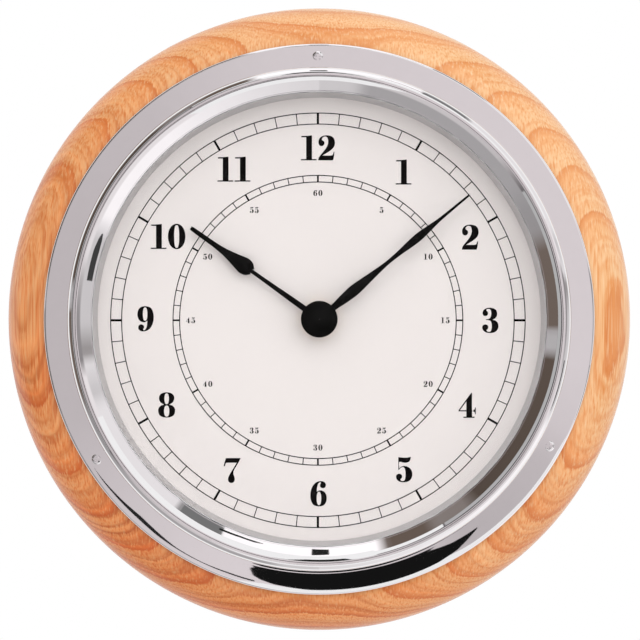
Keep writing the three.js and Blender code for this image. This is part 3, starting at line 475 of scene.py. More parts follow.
# %% Dial finishes
BARE_BACK = 0.03
PAINT_LEVEL = back_of("dial") + BARE_BACK
white_dial = grained("white_dial", (0.875, 0.815, 0.80), 0.985, 0, 0.5, 0.4, 0.001)
dial_tree = white_dial.node_tree
dial_shader = dial_tree.nodes["Principled BSDF"]
dial_axes = add_node(dial_tree, "SeparateXYZ", Vector=place_of(dial_tree))
bare = reckon(dial_tree, "GREATER_THAN", dial_axes.outputs["Y"], -PAINT_LEVEL * MM)
paint = dial_shader.inputs["Base Color"].links[0].from_socket
bare_metal = colour(0.62, 0.61, 0.60)
dial_tree.links.new(between(dial_tree, bare, paint, bare_metal), dial_shader.inputs["Base Color"])
dial_tree.links.new(bare, dial_shader.inputs["Metallic"])
finishes["white_dial"] = white_dial
finishes["satin_black"] = grained(
    "satin_black", (0.003, 0.0025, 0.0025), 0.8, 0, 0.4, 0.3, 0.002, shine=0.05
)
finishes["satin_grey"] = grained("satin_grey", (0.585, 0.575, 0.585), 0.92, 0.8, 0.38, 0.3, 0.002)
print_ink = grained("print_ink", (0.003, 0.0018, 0.0018), 0.8, 0, 0.6, 0.2, 0.001, shine=0.08)

# %% [markdown]
# ## Mineral glass
#
# A flat glass bends light twice and hardly moves what lies behind it, but it mirrors the room
# at its two faces. Seen from a lamp, clear glass should throw no shadow, so light on its way
# from a lamp passes straight through, and everything else meets real refraction.

# %% Mineral glass
SMEAR_SCALE = 35.0
SMEAR_ROUGHNESS = 0.004
GLASS_COLOUR = (0.985, 0.99, 0.988)
LAMP_LIGHT_COLOUR = (0.96, 0.97, 0.965)
GLASS_IOR = 1.5


def clear_glass():
    """Refracting glass that lets the light of lamps straight through."""
    material, tree, shader = new_finish("clear_glass")
    smear = noise(tree, place_of(tree), SMEAR_SCALE)
    rough = reckon(tree, "MULTIPLY", smear, SMEAR_ROUGHNESS)
    tree.links.new(rough, shader.inputs["Roughness"])
    shader.inputs["Base Color"].default_value = colour(*GLASS_COLOUR)
    shader.inputs["Transmission Weight"].default_value = 1.0
    shader.inputs["IOR"].default_value = GLASS_IOR
    through = add_node(tree, "BsdfTransparent", Color=colour(*LAMP_LIGHT_COLOUR))
    from_lamp = add_node(tree, "LightPath").outputs["Is Shadow Ray"]
    choice = add_node(tree, "MixShader", Fac=from_lamp)
    tree.links.new(shader.outputs[0], choice.inputs[1])
    tree.links.new(through.outputs[0], choice.inputs[2])
    tree.links.new(choice.outputs[0], tree.nodes["Material Output"].inputs["Surface"])
    return material


finishes["clear_glass"] = clear_glass()
print("finishes", sorted(finishes))

# %% [markdown]
# ## Turning a ring
#
# Every ring of this clock was made in a lathe, so it is modelled the same way: one outline of
# radius and level, spun round the axis of the clock. Sharp metal edges are never quite sharp,
# and the small arcs at the corners of an outline are what catches the light. A holding point
# just beside each arc keeps the flat beyond it truly flat, or a mirror would show the smoothed
# shading as a dark line.

# %% Outlines and turning
RING_STEPS = 240
HOLD = 0.04


def rounded(corners, step=math.radians(12)):
    """Outline points from corners (radius, level, fillet), with an arc at each fillet."""
    points = []
    for here, (radius, level, fillet) in enumerate(corners):
        corner = Vector((radius, level))
        if not fillet:
            points.append(corner)
            continue
        before = (Vector(corners[here - 1][:2]) - corner).normalized()
        after = (Vector(corners[(here + 1) % len(corners)][:2]) - corner).normalized()
        half = before.angle(after) / 2
        middle = corner + (before + after).normalized() * (fillet / math.sin(half))
        first = corner + before * (fillet / math.tan(half)) - middle
        last = corner + after * (fillet / math.tan(half)) - middle
        turn = first.angle(last)
        steps = max(2, math.ceil(turn / step))
        points.append(middle + first + before * HOLD)
        for count in range(steps + 1):
            share = turn * count / steps
            mixed = first * math.sin(turn - share) + last * math.sin(share)
            points.append(middle + mixed / math.sin(turn))
        points.append(middle + last + after * HOLD)
    return points


def arc_between(start, end, bulge, steps=12):
    """Points on a shallow arc from start to end; bulge in mm, to the left of the way."""
    start, end = Vector(start), Vector(end)
    aside = Vector((start.y - end.y, end.x - start.x)).normalized() * bulge
    shares = [count / steps for count in range(steps + 1)]
    return [start.lerp(end, share) + aside * 4 * share * (1 - share) for share in shares]


def turned(outline, to_axis=False, steps=RING_STEPS):
    """Spin an outline of (radius, level) in mm round the clock's axis."""
    clear_selection()
    bpy.ops.mesh.primitive_circle_add(vertices=len(outline), radius=1)
    ring = bpy.context.object
    for vertex, (radius, level) in zip(ring.data.vertices, outline):
        vertex.co = (radius * MM, -level * MM, 0)
    bpy.ops.object.mode_set(mode="EDIT")
    if to_axis:
        bpy.ops.mesh.select_all(action="DESELECT")
        bpy.ops.object.mode_set(mode="OBJECT")
        for edge in ring.data.edges:
            edge.select = set(edge.vertices) == {0, len(outline) - 1}
        bpy.ops.object.mode_set(mode="EDIT")
        bpy.ops.mesh.select_mode(type="EDGE")
        bpy.ops.mesh.delete(type="EDGE")
        bpy.ops.mesh.select_mode(type="VERT")
    bpy.ops.mesh.select_all(action="SELECT")
    bpy.ops.mesh.spin(steps=steps, angle=2 * math.pi, center=(0, 0, 0), axis=(0, 1, 0))
    bpy.ops.object.mode_set(mode="OBJECT")
    close_seams(ring)
    return ring


# %% [markdown]
# ## The wooden base ring
#
# The ring is turned from a 24 mm board with a big round on its front edge, half as wide as
# the board is thick. A router then sinks a shallow bed for the hanger plate and a deeper
# pocket for the head of the wall screw. A boolean with two rounded blocks does the same.

# %% Wooden base ring
WOOD_BORE = 65.0
WOOD_FRONT_ROUND = 12.0
WOOD_BACK_ROUND = 1.5
WOOD_BORE_ROUND = 0.6
BEHIND_THE_BACK = -1
BED_CLEARANCE = 0.3
BED_CORNER = 1.8
POCKET_WIDTH = 9.6
POCKET_HEIGHT = 11.6
POCKET_DEPTH = 8.4
POCKET_CORNER = 3.0

wood_radius = radius_of("wood_ring")
wood_front = front_of("wood_ring")
wood = turned(
    rounded(
        [
            (WOOD_BORE, 0, WOOD_BORE_ROUND),
            (wood_radius, 0, WOOD_BACK_ROUND),
            (wood_radius, wood_front, WOOD_FRONT_ROUND),
            (WOOD_BORE, wood_front, WOOD_BORE_ROUND),
        ],
        step=math.radians(7),
    )
)


def block(width, height, low, high, x, z, corner):
    """A block with rounded upright edges, from one level to another, in mm."""
    clear_selection()
    bpy.ops.mesh.primitive_cube_add(
        size=1,
        location=(x * MM, -(low + high) / 2 * MM, z * MM),
        scale=(width * MM, (high - low) * MM, height * MM),
    )
    made = bpy.context.object
    settle(made)
    bpy.ops.object.mode_set(mode="EDIT")
    bpy.ops.mesh.select_mode(type="EDGE")
    bpy.ops.mesh.select_all(action="DESELECT")
    bpy.ops.object.mode_set(mode="OBJECT")
    for edge in made.data.edges:
        ends = [made.data.vertices[index].co for index in edge.vertices]
        edge.select = abs(ends[0].y - ends[1].y) > (high - low) * MM / 2
    bpy.ops.object.mode_set(mode="EDIT")
    bpy.ops.mesh.bevel(offset=corner * MM, segments=6)
    bpy.ops.mesh.select_mode(type="VERT")
    bpy.ops.object.mode_set(mode="OBJECT")
    return made


def carve(piece, cutter):
    """Cut one solid out of another, and drop the cutter."""
    apply_modifier(piece, "BOOLEAN", operation="DIFFERENCE", solver="EXACT", object=cutter)
    bpy.data.objects.remove(cutter)


hanger_x, hanger_z, _ = centre_of("hanger_plate")
hanger_low, hanger_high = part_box("hanger_plate")
bed_width = (hanger_high.x - hanger_low.x) / MM + 2 * BED_CLEARANCE
bed_height = (hanger_high.z - hanger_low.z) / MM + 2 * BED_CLEARANCE
bed_depth = front_of("hanger_plate") + BED_CLEARANCE
for width, height, depth, corner in (
    (bed_width, bed_height, bed_depth, BED_CORNER),
    (POCKET_WIDTH, POCKET_HEIGHT, POCKET_DEPTH, POCKET_CORNER),
):
    carve(wood, block(width, height, BEHIND_THE_BACK, depth, hanger_x, hanger_z, corner))
finish_piece(wood, "wood_ring_turned", "case", "wood_ring", angle=40)

# %% [markdown]
# ## The case and its flange
#
# The case is one spinning: a drum that hides in the wood, a flange that covers the joint, and
# a neck that carries the bezel. The flange isn't a plain cone. It is slightly crowned, rolls
# over at its outer edge, and runs up in a small cove to the groove beside the bezel.

# %% Case with flange
FLANGE_BACK = 24.1
FLANGE_TOP = 27.0
FLANGE_INNER = 69.3
FLANGE_CROWN = 0.09
FLANGE_RIM_DROP = 1.43
FLANGE_RIM_ROUND = 0.8
FLANGE_CROWN_START = 0.9
FLANGE_CROWN_LEVEL = 25.86
COVE_TOP = 27.12
COVE_RADIUS = 68.48
COVE_STEP = (-0.05, 0.01)
COVE_LIP = 0.06
COVE_BULGE = 0.02
BEZEL_SEAT = 26.3
NECK_RADIUS = 64.0
NECK_BORE = 62.2
LEDGE_TOP = 18.6
LEDGE_BACK = 17.2
DRUM_RADIUS = 61.4
DRUM_BORE = 60.0
DRUM_EDGE = 0.2
UNDER_EDGE = 0.12
NECK_EDGE = 0.15

flange_radius = radius_of("case_body")
crown_start = (flange_radius - FLANGE_CROWN_START, FLANGE_CROWN_LEVEL)
crown_end = (FLANGE_INNER, FLANGE_TOP)
cove_start = (FLANGE_INNER + COVE_STEP[0], FLANGE_TOP + COVE_STEP[1])
cove_end = (COVE_RADIUS + COVE_LIP, COVE_TOP)
case_outline = (
    rounded(
        [
            (DRUM_BORE, back_of("case_body"), DRUM_EDGE),
            (DRUM_RADIUS, back_of("case_body"), DRUM_EDGE),
            (DRUM_RADIUS, LEDGE_BACK, DRUM_EDGE),
            (NECK_RADIUS, LEDGE_BACK, DRUM_EDGE),
            (NECK_RADIUS, FLANGE_BACK, DRUM_EDGE),
            (flange_radius, FLANGE_BACK, UNDER_EDGE),
            (flange_radius, FLANGE_TOP - FLANGE_RIM_DROP, FLANGE_RIM_ROUND),
            (*crown_start, 0),
        ]
    )[:-1]
    + arc_between(crown_start, crown_end, -FLANGE_CROWN)
    + arc_between(cove_start, cove_end, COVE_BULGE, 5)
    + rounded(
        [
            (COVE_RADIUS, COVE_TOP, 0),
            (COVE_RADIUS, BEZEL_SEAT, NECK_EDGE),
            (NECK_RADIUS, BEZEL_SEAT, NECK_EDGE),
            (NECK_RADIUS, front_of("case_body"), NECK_EDGE),
            (NECK_BORE, front_of("case_body"), NECK_EDGE),
            (NECK_BORE, LEDGE_TOP, NECK_EDGE),
            (DRUM_BORE, LEDGE_TOP, NECK_EDGE),
        ]
    )
)
case = turned([(round(r, 4), round(level, 4)) for r, level in case_outline])
finish_piece(case, "case_with_flange", "case", "case_body")

# %% [markdown]
# ## The bezel
#
# The bezel is the tall bright ring. Its outer edge is a big round that meets the narrow flat
# crest at a slight break in slope, which shows as a fine line. The crest rolls over softly into
# a tapered band. The band runs down to a thin lip over the glass and mirrors the far side of the
# room. Its slope changes a little on the way, which is why the mirrored shapes in it are drawn
# out.

# %% Bezel
BEZEL_BORE = 64.3
BEZEL_ROLL = 2.32
ROLL_START_RADIUS = 66.78
ROLL_START_SLOPE = math.radians(20)
CREST_RADIUS = 65.93
CREST_ROLL = 1.0
TAPER_SLOPE = math.radians(27.1)
LIP_RADIUS = radius_of("bezel_ring") - 6.6
LIP_TOP = 32.15
LIP_BACK = 31.2
LIP_SHOULDER = (0.3, 0.18)
LIP_NOSE = (0.15, 0.12)
LIP_EDGE = 0.1
BEZEL_EDGE = 0.2
TAPER_BULGE = -0.136

bezel_radius = radius_of("bezel_ring")
bezel_front = front_of("bezel_ring")
bezel_back = back_of("bezel_ring")
down_taper = Vector((-math.cos(TAPER_SLOPE), -math.sin(TAPER_SLOPE)))
roll_drop = (bezel_radius - ROLL_START_RADIUS) * math.tan(ROLL_START_SLOPE)
crest_corner = Vector((CREST_RADIUS, bezel_front))
taper_start = crest_corner + down_taper * (CREST_ROLL * math.tan(TAPER_SLOPE / 2) + HOLD)
taper_end = Vector((LIP_RADIUS, LIP_TOP)) + Vector(LIP_SHOULDER)
bezel_outline = (
    rounded(
        [
            (BEZEL_BORE, bezel_back, BEZEL_EDGE),
            (bezel_radius, bezel_back, BEZEL_EDGE),
            (bezel_radius, bezel_front - roll_drop, BEZEL_ROLL),
            (ROLL_START_RADIUS, bezel_front, LIP_EDGE),
            (CREST_RADIUS, bezel_front, CREST_ROLL),
            (*(crest_corner + down_taper), 0),
        ],
        step=math.radians(6),
    )[:-2]
    + arc_between(taper_start, taper_end, TAPER_BULGE)
    + rounded(
        [
            (LIP_RADIUS + LIP_NOSE[0], LIP_TOP, 0),
            (LIP_RADIUS, LIP_TOP - LIP_NOSE[1], 0),
            (LIP_RADIUS, LIP_BACK, LIP_EDGE),
            (BEZEL_BORE, LIP_BACK, LIP_EDGE),
        ]
    )
)
bezel = turned([(round(r, 4), round(level, 4)) for r, level in bezel_outline])
finish_piece(bezel, "bezel", "case", "bezel_ring")

# %% [markdown]
# ## Glass and satin ring
#
# The glass is a flat disc with a ground edge, and the satin ring stands between it and the
# dial. Both are simple turned pieces. The soft gasket under the glass hardly shows, so it stays
# as the CAD model has it.

# %% Glass and satin ring
GLASS_GRIND = 0.3
glass_edge = radius_of("glass")
glass = turned(
    [
        (0, back_of("glass")),
        (glass_edge / 2, back_of("glass")),
        (glass_edge - GLASS_GRIND, back_of("glass")),
        (glass_edge, back_of("glass") + GLASS_GRIND),
        (glass_edge, front_of("glass") - GLASS_GRIND),
        (glass_edge - GLASS_GRIND, front_of("glass")),
        (glass_edge / 2, front_of("glass")),
        (0, front_of("glass")),
    ],
    to_axis=True,
)
finish_piece(glass, "flat_glass", "case", "glass")

DIAL_OPENING = 60.4
RING_TOP_INNER = 61.55
RING_EDGE = 0.1
ring_outer = radius_of("dial_ring")
dial_ring = turned(
    rounded(
        [
            (DIAL_OPENING, back_of("dial_ring"), RING_EDGE),
            (ring_outer, back_of("dial_ring"), RING_EDGE),
            (ring_outer, front_of("dial_ring"), RING_EDGE),
            (RING_TOP_INNER, front_of("dial_ring"), RING_EDGE),
        ]
    )
)
finish_piece(dial_ring, "satin_dial_ring", "case", "dial_ring")

# %% [markdown]
# ## The dial plate
#
# The dial is a thin sprayed disc with a hole for the movement's bush. Paint draws back a
# little at an edge, so both rims are rounded.

# %% Dial plate
DIAL_HOLE = 3.8
PUNCHED_EDGE = 0.05
PAINTED_EDGE = 0.15
dial_radius = radius_of("dial")
dial_front = front_of("dial")
dial = turned(
    rounded(
        [
            (DIAL_HOLE, back_of("dial"), PUNCHED_EDGE),
            (dial_radius, back_of("dial"), PUNCHED_EDGE),
            (dial_radius, dial_front, PAINTED_EDGE),
            (DIAL_HOLE, dial_front, PAINTED_EDGE),
        ]
    )
)
finish_piece(dial, "dial_plate", "case", "dial")

# %% [markdown]
# ## Printing on the dial
#
# Screen print stands a few hundredths of a millimetre above the paint. Each print is drawn
# as closed loops in millimetres on a flat curve, where a loop inside another is a hole. The
# curve becomes a thin mesh, and only then moves to its place on the dial.

# %% Flat print
PRINT_THICKNESS = 0.03
PRINT_OFFSET = (-0.37, -0.30)
PRINT_MERGE = 0.0005


def flat_plate(loops, thickness, low_level):
    """Fill closed loops of (x, height) in mm into a plate that starts at a level."""
    clear_selection()
    bpy.ops.curve.primitive_bezier_circle_add()
    plate = bpy.context.object
    plate.data.splines.clear()
    plate.data.dimensions = "2D"
    plate.data.fill_mode = "BOTH"
    plate.data.extrude = thickness / 2
    for loop in loops:
        spline = plate.data.splines.new("POLY")
        spline.points.add(len(loop) - 1)
        for point, (x, height) in zip(spline.points, loop):
            point.co = (x, height, 0, 1)
        spline.use_cyclic_u = True
    bpy.ops.object.convert(target="MESH")
    plate = bpy.context.object
    close_seams(plate, PRINT_MERGE)
    plate.rotation_euler = (math.pi / 2, 0, 0)
    plate.scale = (MM, MM, MM)
    plate.location = (0, -(low_level + thickness / 2) * MM, 0)
    settle(plate)
    return plate


def print_on_dial(loops, name):
    """Print loops in black; the screen lay a little to the left and low on this dial."""
    right, up = PRINT_OFFSET
    shifted = [[(x + right, height + up) for x, height in loop] for loop in loops]
    plate = flat_plate(shifted, PRINT_THICKNESS, dial_front)
    return finish_piece(plate, name, "case", slot="satin_black", finish=print_ink)


def on_dial(angle, radius):
    """A point (x, height) at a clock angle in degrees and a radius."""
    turn = math.radians(angle)
    return radius * math.sin(turn), radius * math.cos(turn)


def circle(radius, steps=360):
    """A full circle as a loop."""
    return [on_dial(360 * step / steps, radius) for step in range(steps)]


# %% [markdown]
# ## The two minute tracks
#
# A track is two thin circles with a mark at each minute and a bold mark at each five. Drawn
# as crossing lines it would overlap itself. Drawn as one broad ring with sixty cells left
# open it is a single clean shape, and the lines are what stays between the cells.

# %% Minute tracks
LINE = 0.27
THIN_MARK = 0.25
BOLD_MARK = 0.62
INNER_BOLD_MARK = 0.48
OUTER_TRACK = (53.5, 56.5)
INNER_TRACK = (37.7, 39.5)


def cell(minute, inner, outer, bold):
    """The open cell after one minute mark, as a loop."""
    first = bold if minute % 5 == 0 else THIN_MARK
    last = bold if minute % 5 == 4 else THIN_MARK

    def side(angle, radius, half):
        return angle + math.degrees(math.asin(half / radius))

    loop = []
    for radius, way in ((outer, 1), (inner, -1)):
        start = side(6 * minute, radius, first / 2)
        end = side(6 * minute + 6, radius, -last / 2)
        run = [on_dial(start + (end - start) * share / 4, radius) for share in range(5)]
        loop += run[::way]
    return loop


def track(radii, bold):
    """All loops of one track."""
    inner, outer = radii
    loops = [circle(outer + LINE / 2), circle(inner - LINE / 2)]
    for minute in range(60):
        loops.append(cell(minute, inner + LINE / 2, outer - LINE / 2, bold))
    return loops


print_on_dial(track(OUTER_TRACK, BOLD_MARK), "print_outer_track")
print_on_dial(track(INNER_TRACK, INNER_BOLD_MARK), "print_inner_track")

# %% [markdown]
# ## The hour numerals
#
# The numerals are of the old high-contrast kind: heavy stems, hairlines and round drops. No
# font is loaded, so each digit is drawn once, one unit high, as smooth runs that meet at
# corners. A nine is a six turned round. The twelve numbers are then placed upright, each
# centred on its hour and nudged by some tenths of a millimetre, as a printer's eye would do.

# %% Digits
NUMERAL_HEIGHT = 6.8
NUMERAL_RADIUS = 47.0
DIGIT_GAP = 0.06
MINUTE_DIGIT_GAP = 0.2
NUMERAL_NUDGES = {
    1: (-0.15, -0.29),
    2: (0.8, -0.85),
    4: (0, 0.3),
    6: (0.17, -0.28),
    7: (0.13, -0.26),
    8: (-0.53, 0.45),
    9: (0, 0.4),
    10: (-0.15, -0.65),
    11: (0.6, 0.5),
}


def through(points, steps=6):
    """A smooth run through points, without the last one; two points make a straight run."""
    if len(points) == 2:
        return [points[0]]
    padded = [points[0], *points, points[-1]]
    run = []
    for before, start, end, after in zip(padded, padded[1:], padded[2:], padded[3:]):
        for step in range(steps):
            t = step / steps
            weights = (
                (-t * t * t + 2 * t * t - t) / 2,
                (3 * t * t * t - 5 * t * t + 2) / 2,
                (-3 * t * t * t + 4 * t * t + t) / 2,
                (t * t * t - t * t) / 2,
            )
            four = (before, start, end, after)
            run.append(tuple(sum(w * p[axis] for w, p in zip(weights, four)) for axis in (0, 1)))
    return run


def loop_of(*corner_runs):
    """A closed loop from runs; each run goes on to the first point of the next."""
    loop = []
    for run, following in zip(corner_runs, corner_runs[1:] + corner_runs[:1]):
        loop += through([*run, following[0]])
    return loop


def oval(x, y, half_width, half_height, squareness, steps=40):
    """An oval loop; a squareness above 2 makes its sides straighter."""
    loop = []
    for step in range(steps):
        turn = 2 * math.pi * step / steps
        across, up = math.cos(turn), math.sin(turn)
        loop.append(
            (
                x + half_width * math.copysign(abs(across) ** (2 / squareness), across),
                y + half_height * math.copysign(abs(up) ** (2 / squareness), up),
            )
        )
    return loop


ONE = [
    loop_of(
        [(0, 0)],
        [(0.63, 0)],
        [(0.63, 0.05)],
        [(0.445, 0.052)],
        [(0.445, 1.0)],
        [(0.40, 1.0), (0.22, 0.982)],
        [(0.02, 0.98)],
        [(0.02, 0.925)],
        [(0.213, 0.925)],
        [(0.213, 0.052)],
        [(0, 0.05)],
    )
]
TWO = [
    loop_of(
        [(0, 0)],
        [(0.60, 0)],
        [(0.60, 0), (0.63, 0.12), (0.655, 0.325)],
        [(0.62, 0.325), (0.585, 0.23), (0.50, 0.195)],
        [(0.175, 0.195), (0.30, 0.27), (0.46, 0.37), (0.60, 0.49), (0.665, 0.61)]
        + [(0.675, 0.73), (0.65, 0.85), (0.575, 0.945), (0.45, 0.995), (0.33, 1.005)]
        + [(0.20, 0.985), (0.09, 0.92), (0.025, 0.81), (0.018, 0.69), (0.06, 0.60)]
        + [(0.135, 0.57), (0.215, 0.60), (0.255, 0.68), (0.235, 0.765), (0.165, 0.81)]
        + [(0.16, 0.87), (0.21, 0.935), (0.29, 0.955), (0.365, 0.915), (0.40, 0.81)]
        + [(0.40, 0.70), (0.37, 0.59), (0.31, 0.48), (0.22, 0.36), (0.11, 0.23), (0.03, 0.11)],
    )
]
THREE = [
    loop_of(
        [(0.16, 0.505), (0.24, 0.505), (0.33, 0.475), (0.375, 0.39), (0.385, 0.27)]
        + [(0.375, 0.14), (0.34, 0.06), (0.27, 0.04), (0.20, 0.06), (0.18, 0.11)]
        + [(0.235, 0.17), (0.245, 0.25), (0.20, 0.315), (0.12, 0.335), (0.04, 0.30)]
        + [(0.0, 0.215), (0.04, 0.10), (0.15, 0.015), (0.32, -0.012), (0.50, 0.02)]
        + [(0.62, 0.13), (0.655, 0.27), (0.62, 0.41), (0.53, 0.49), (0.42, 0.525)],
        [(0.42, 0.525), (0.50, 0.56), (0.58, 0.65), (0.605, 0.77), (0.565, 0.90)]
        + [(0.45, 0.98), (0.30, 1.005), (0.15, 0.975), (0.05, 0.895), (0.015, 0.79)]
        + [(0.05, 0.70), (0.125, 0.67), (0.205, 0.70), (0.24, 0.78), (0.205, 0.86)]
        + [(0.17, 0.90), (0.20, 0.94), (0.26, 0.955), (0.325, 0.93), (0.36, 0.85)]
        + [(0.365, 0.75), (0.345, 0.645), (0.30, 0.575), (0.24, 0.548)],
        [(0.16, 0.545)],
    )
]
FOUR = [
    loop_of(
        [(0.19, 0)],
        [(0.64, 0)],
        [(0.64, 0.047)],
        [(0.54, 0.047)],
        [(0.54, 0.26), (0.61, 0.25), (0.65, 0.21), (0.655, 0.15)],
        [(0.69, 0.15)],
        [(0.69, 0.42)],
        [(0.655, 0.42), (0.65, 0.36), (0.61, 0.32), (0.54, 0.31)],
        [(0.54, 1.0)],
        [(0.50, 1.0)],
        [(0, 0.31)],
        [(0, 0.26)],
        [(0.31, 0.26)],
        [(0.31, 0.047)],
        [(0.19, 0.047)],
    ),
    loop_of([(0.054, 0.305)], [(0.31, 0.305)], [(0.31, 0.655)]),
]
FIVE = [
    loop_of(
        [(0.095, 0.48)],
        [(0.095, 1.0)],
        [(0.095, 1.0), (0.22, 0.985), (0.36, 0.98), (0.48, 0.985), (0.59, 1.01)],
        [(0.585, 0.93), (0.55, 0.84), (0.46, 0.79), (0.33, 0.775), (0.135, 0.80)],
        [(0.135, 0.545), (0.20, 0.61), (0.33, 0.645), (0.50, 0.60), (0.62, 0.48)]
        + [(0.655, 0.32), (0.62, 0.15), (0.50, 0.03), (0.31, -0.012), (0.15, 0.015)]
        + [(0.04, 0.10), (0.0, 0.215), (0.04, 0.30), (0.12, 0.335), (0.20, 0.315)]
        + [(0.245, 0.25), (0.235, 0.17), (0.18, 0.11), (0.20, 0.06), (0.27, 0.04)]
        + [(0.34, 0.07), (0.375, 0.17), (0.385, 0.32), (0.37, 0.48), (0.33, 0.575)]
        + [(0.27, 0.60), (0.19, 0.57), (0.13, 0.50)],
    )
]
SIX = [
    loop_of(
        [(0.33, -0.012), (0.13, 0.05), (0.025, 0.23), (0.0, 0.45), (0.03, 0.66)]
        + [(0.12, 0.85), (0.26, 0.97), (0.41, 1.005), (0.54, 0.98), (0.615, 0.90)]
        + [(0.615, 0.80), (0.55, 0.73), (0.46, 0.73), (0.395, 0.785), (0.39, 0.865)]
        + [(0.425, 0.925), (0.40, 0.958), (0.34, 0.93), (0.29, 0.84), (0.265, 0.71)],
        [(0.262, 0.575), (0.33, 0.622), (0.43, 0.635), (0.56, 0.575), (0.64, 0.44)]
        + [(0.655, 0.31), (0.62, 0.14), (0.50, 0.02)],
    ),
    oval(0.345, 0.31, 0.09, 0.27, 2.3),
]
SEVEN = [
    loop_of(
        [(0.097, 1.0)],
        [(0.695, 1.0)],
        [(0.695, 1.0), (0.549, 0.735), (0.46, 0.593), (0.408, 0.48), (0.394, 0.40)]
        + [(0.403, 0.335), (0.436, 0.239), (0.451, 0.15), (0.415, 0.045), (0.314, 0.0)]
        + [(0.215, 0.045), (0.177, 0.15), (0.21, 0.274), (0.30, 0.434), (0.372, 0.55)],
        [(0.53, 0.814)],
        [(0.12, 0.814), (0.085, 0.77), (0.053, 0.677)],
        [(0.004, 0.677), (0.04, 0.82)],
    )
]
EIGHT = [
    loop_of(
        [(0.34, 1.005), (0.51, 0.975), (0.62, 0.88), (0.645, 0.75), (0.60, 0.62), (0.50, 0.54)],
        [(0.44, 0.508), (0.56, 0.475), (0.655, 0.38), (0.68, 0.25), (0.635, 0.10)]
        + [(0.51, 0.015), (0.34, -0.012), (0.17, 0.015), (0.045, 0.10), (0.0, 0.25)]
        + [(0.025, 0.38), (0.12, 0.475)],
        [(0.24, 0.508), (0.18, 0.54), (0.08, 0.62), (0.035, 0.75), (0.06, 0.88), (0.17, 0.975)],
    ),
    oval(0.34, 0.745, 0.09, 0.218, 2.3),
    oval(0.34, 0.25, 0.105, 0.224, 2.3),
]
NINE = [[(0.66 - x, 1 - y) for x, y in loop] for loop in SIX]
ZERO = [oval(0.35, 0.5, 0.35, 0.51, 2.05, 56), oval(0.35, 0.5, 0.1, 0.455, 2.6)]
DIGITS = dict(zip("0123456789", (ZERO, ONE, TWO, THREE, FOUR, FIVE, SIX, SEVEN, EIGHT, NINE)))
print("digit points", {digit: sum(map(len, loops)) for digit, loops in DIGITS.items()})

# %% Hour numerals


def number_loops(text, height, angle, radius, gap=DIGIT_GAP):
    """Loops of an upright number, centred at a clock angle and radius."""
    loops = []
    edge = 0.0
    for digit in text:
        shifted = [[(x + edge, y) for x, y in loop] for loop in DIGITS[digit]]
        loops += shifted
        edge = max(x for loop in shifted for x, _ in loop) + gap
    middle_x = (edge - gap) / 2
    centre_x, centre_y = on_dial(angle, radius)
    return [
        [(centre_x + (x - middle_x) * height, centre_y + (y - 0.5) * height) for x, y in loop]
        for loop in loops
    ]


hour_loops = []
for hour in range(1, 13):
    right, up = NUMERAL_NUDGES.get(hour, (0, 0))
    for loop in number_loops(str(hour), NUMERAL_HEIGHT, 30 * hour, NUMERAL_RADIUS):
        hour_loops.append([(x + right, y + up) for x, y in loop])
print_on_dial(hour_loops, "print_hour_numerals")

# %% [markdown]
# ## The small minute numbers
#
# Inside the inner track the minutes are numbered in fives. They are only 1.6 mm high, so
# they are the same digits, printed small.

# %% Minute numbers
MINUTE_HEIGHT = 1.6
MINUTE_RADIUS = 34.7

minute_loops = []
for mark in range(1, 13):
    text = str(5 * mark)
    minute_loops += number_loops(text, MINUTE_HEIGHT, 30 * mark, MINUTE_RADIUS, MINUTE_DIGIT_GAP)
print_on_dial(minute_loops, "print_minute_numbers")

# %% [markdown]
# ## The hands
#
# Both hands are punched from sheet in the leaf form: a round boss, a blade that swells and
# thins again, and a fine tip. Half of the blade is a list of widths along the hand, mirrored
# to the other side. The rim of a punched and lacquered hand is soft, so it is bevelled.

# %% Hands
BOSS_RADIUS = 3.9
HOUR_BORE = 2.3
MINUTE_BORE = 1.2
HAND_SOFTNESS = 0.06
HOUR_ANGLE = 305.4
MINUTE_ANGLE = 50.4
HOUR_ROOT = 0.8
MINUTE_ROOT = 0.9
BOSS_STEPS = 40
HOUR_BLADE = [(8, 0.78), (21.5, 0.53), (22.3, 0.9), (23.4, 1.9), (24.5, 2.25), (25.6, 2.26)]
HOUR_BLADE += [(27.7, 1.76), (29.9, 1.3), (32.1, 0.94), (35.4, 0.71), (42.3, 0.58), (42.9, 0.22)]
MINUTE_BLADE = [(6, 0.97), (8.2, 1.25), (11.4, 1.5), (13.6, 1.46), (18, 1.02), (22.3, 0.64)]
MINUTE_BLADE += [(25, 0.54), (28.8, 0.7), (31, 0.9), (33.2, 1.06), (35.4, 1.11)]
MINUTE_BLADE += [(37.5, 0.94), (39.7, 0.73), (43, 0.44), (52.5, 0.28), (53.0, 0.12)]


def hand(blade, root_half, bore, angle, low, high):
    """A leaf hand along a clock angle, between two levels."""
    leave = math.degrees(math.asin(root_half / BOSS_RADIUS))
    boss_turn = 360 - 2 * leave
    boss = [on_dial(leave + boss_turn * s / BOSS_STEPS, BOSS_RADIUS) for s in range(BOSS_STEPS)]
    root = on_dial(-leave, BOSS_RADIUS)
    left = through([root] + [(-half, along) for along, half in blade], 4)
    right = [(-x, y) for x, y in reversed(left[1:])]
    tip = [(-blade[-1][1], blade[-1][0]), (blade[-1][1], blade[-1][0])]
    outline = boss + left + tip + right
    turn = math.radians(angle)
    loops = []
    for loop in (outline, circle(bore, 48)):
        loops.append(
            [
                (
                    x * math.cos(turn) + y * math.sin(turn),
                    y * math.cos(turn) - x * math.sin(turn),
                )
                for x, y in loop
            ]
        )
    made = flat_plate(loops, high - low, low)
    soften_edges(made, HAND_SOFTNESS, 2, 60)
    return made


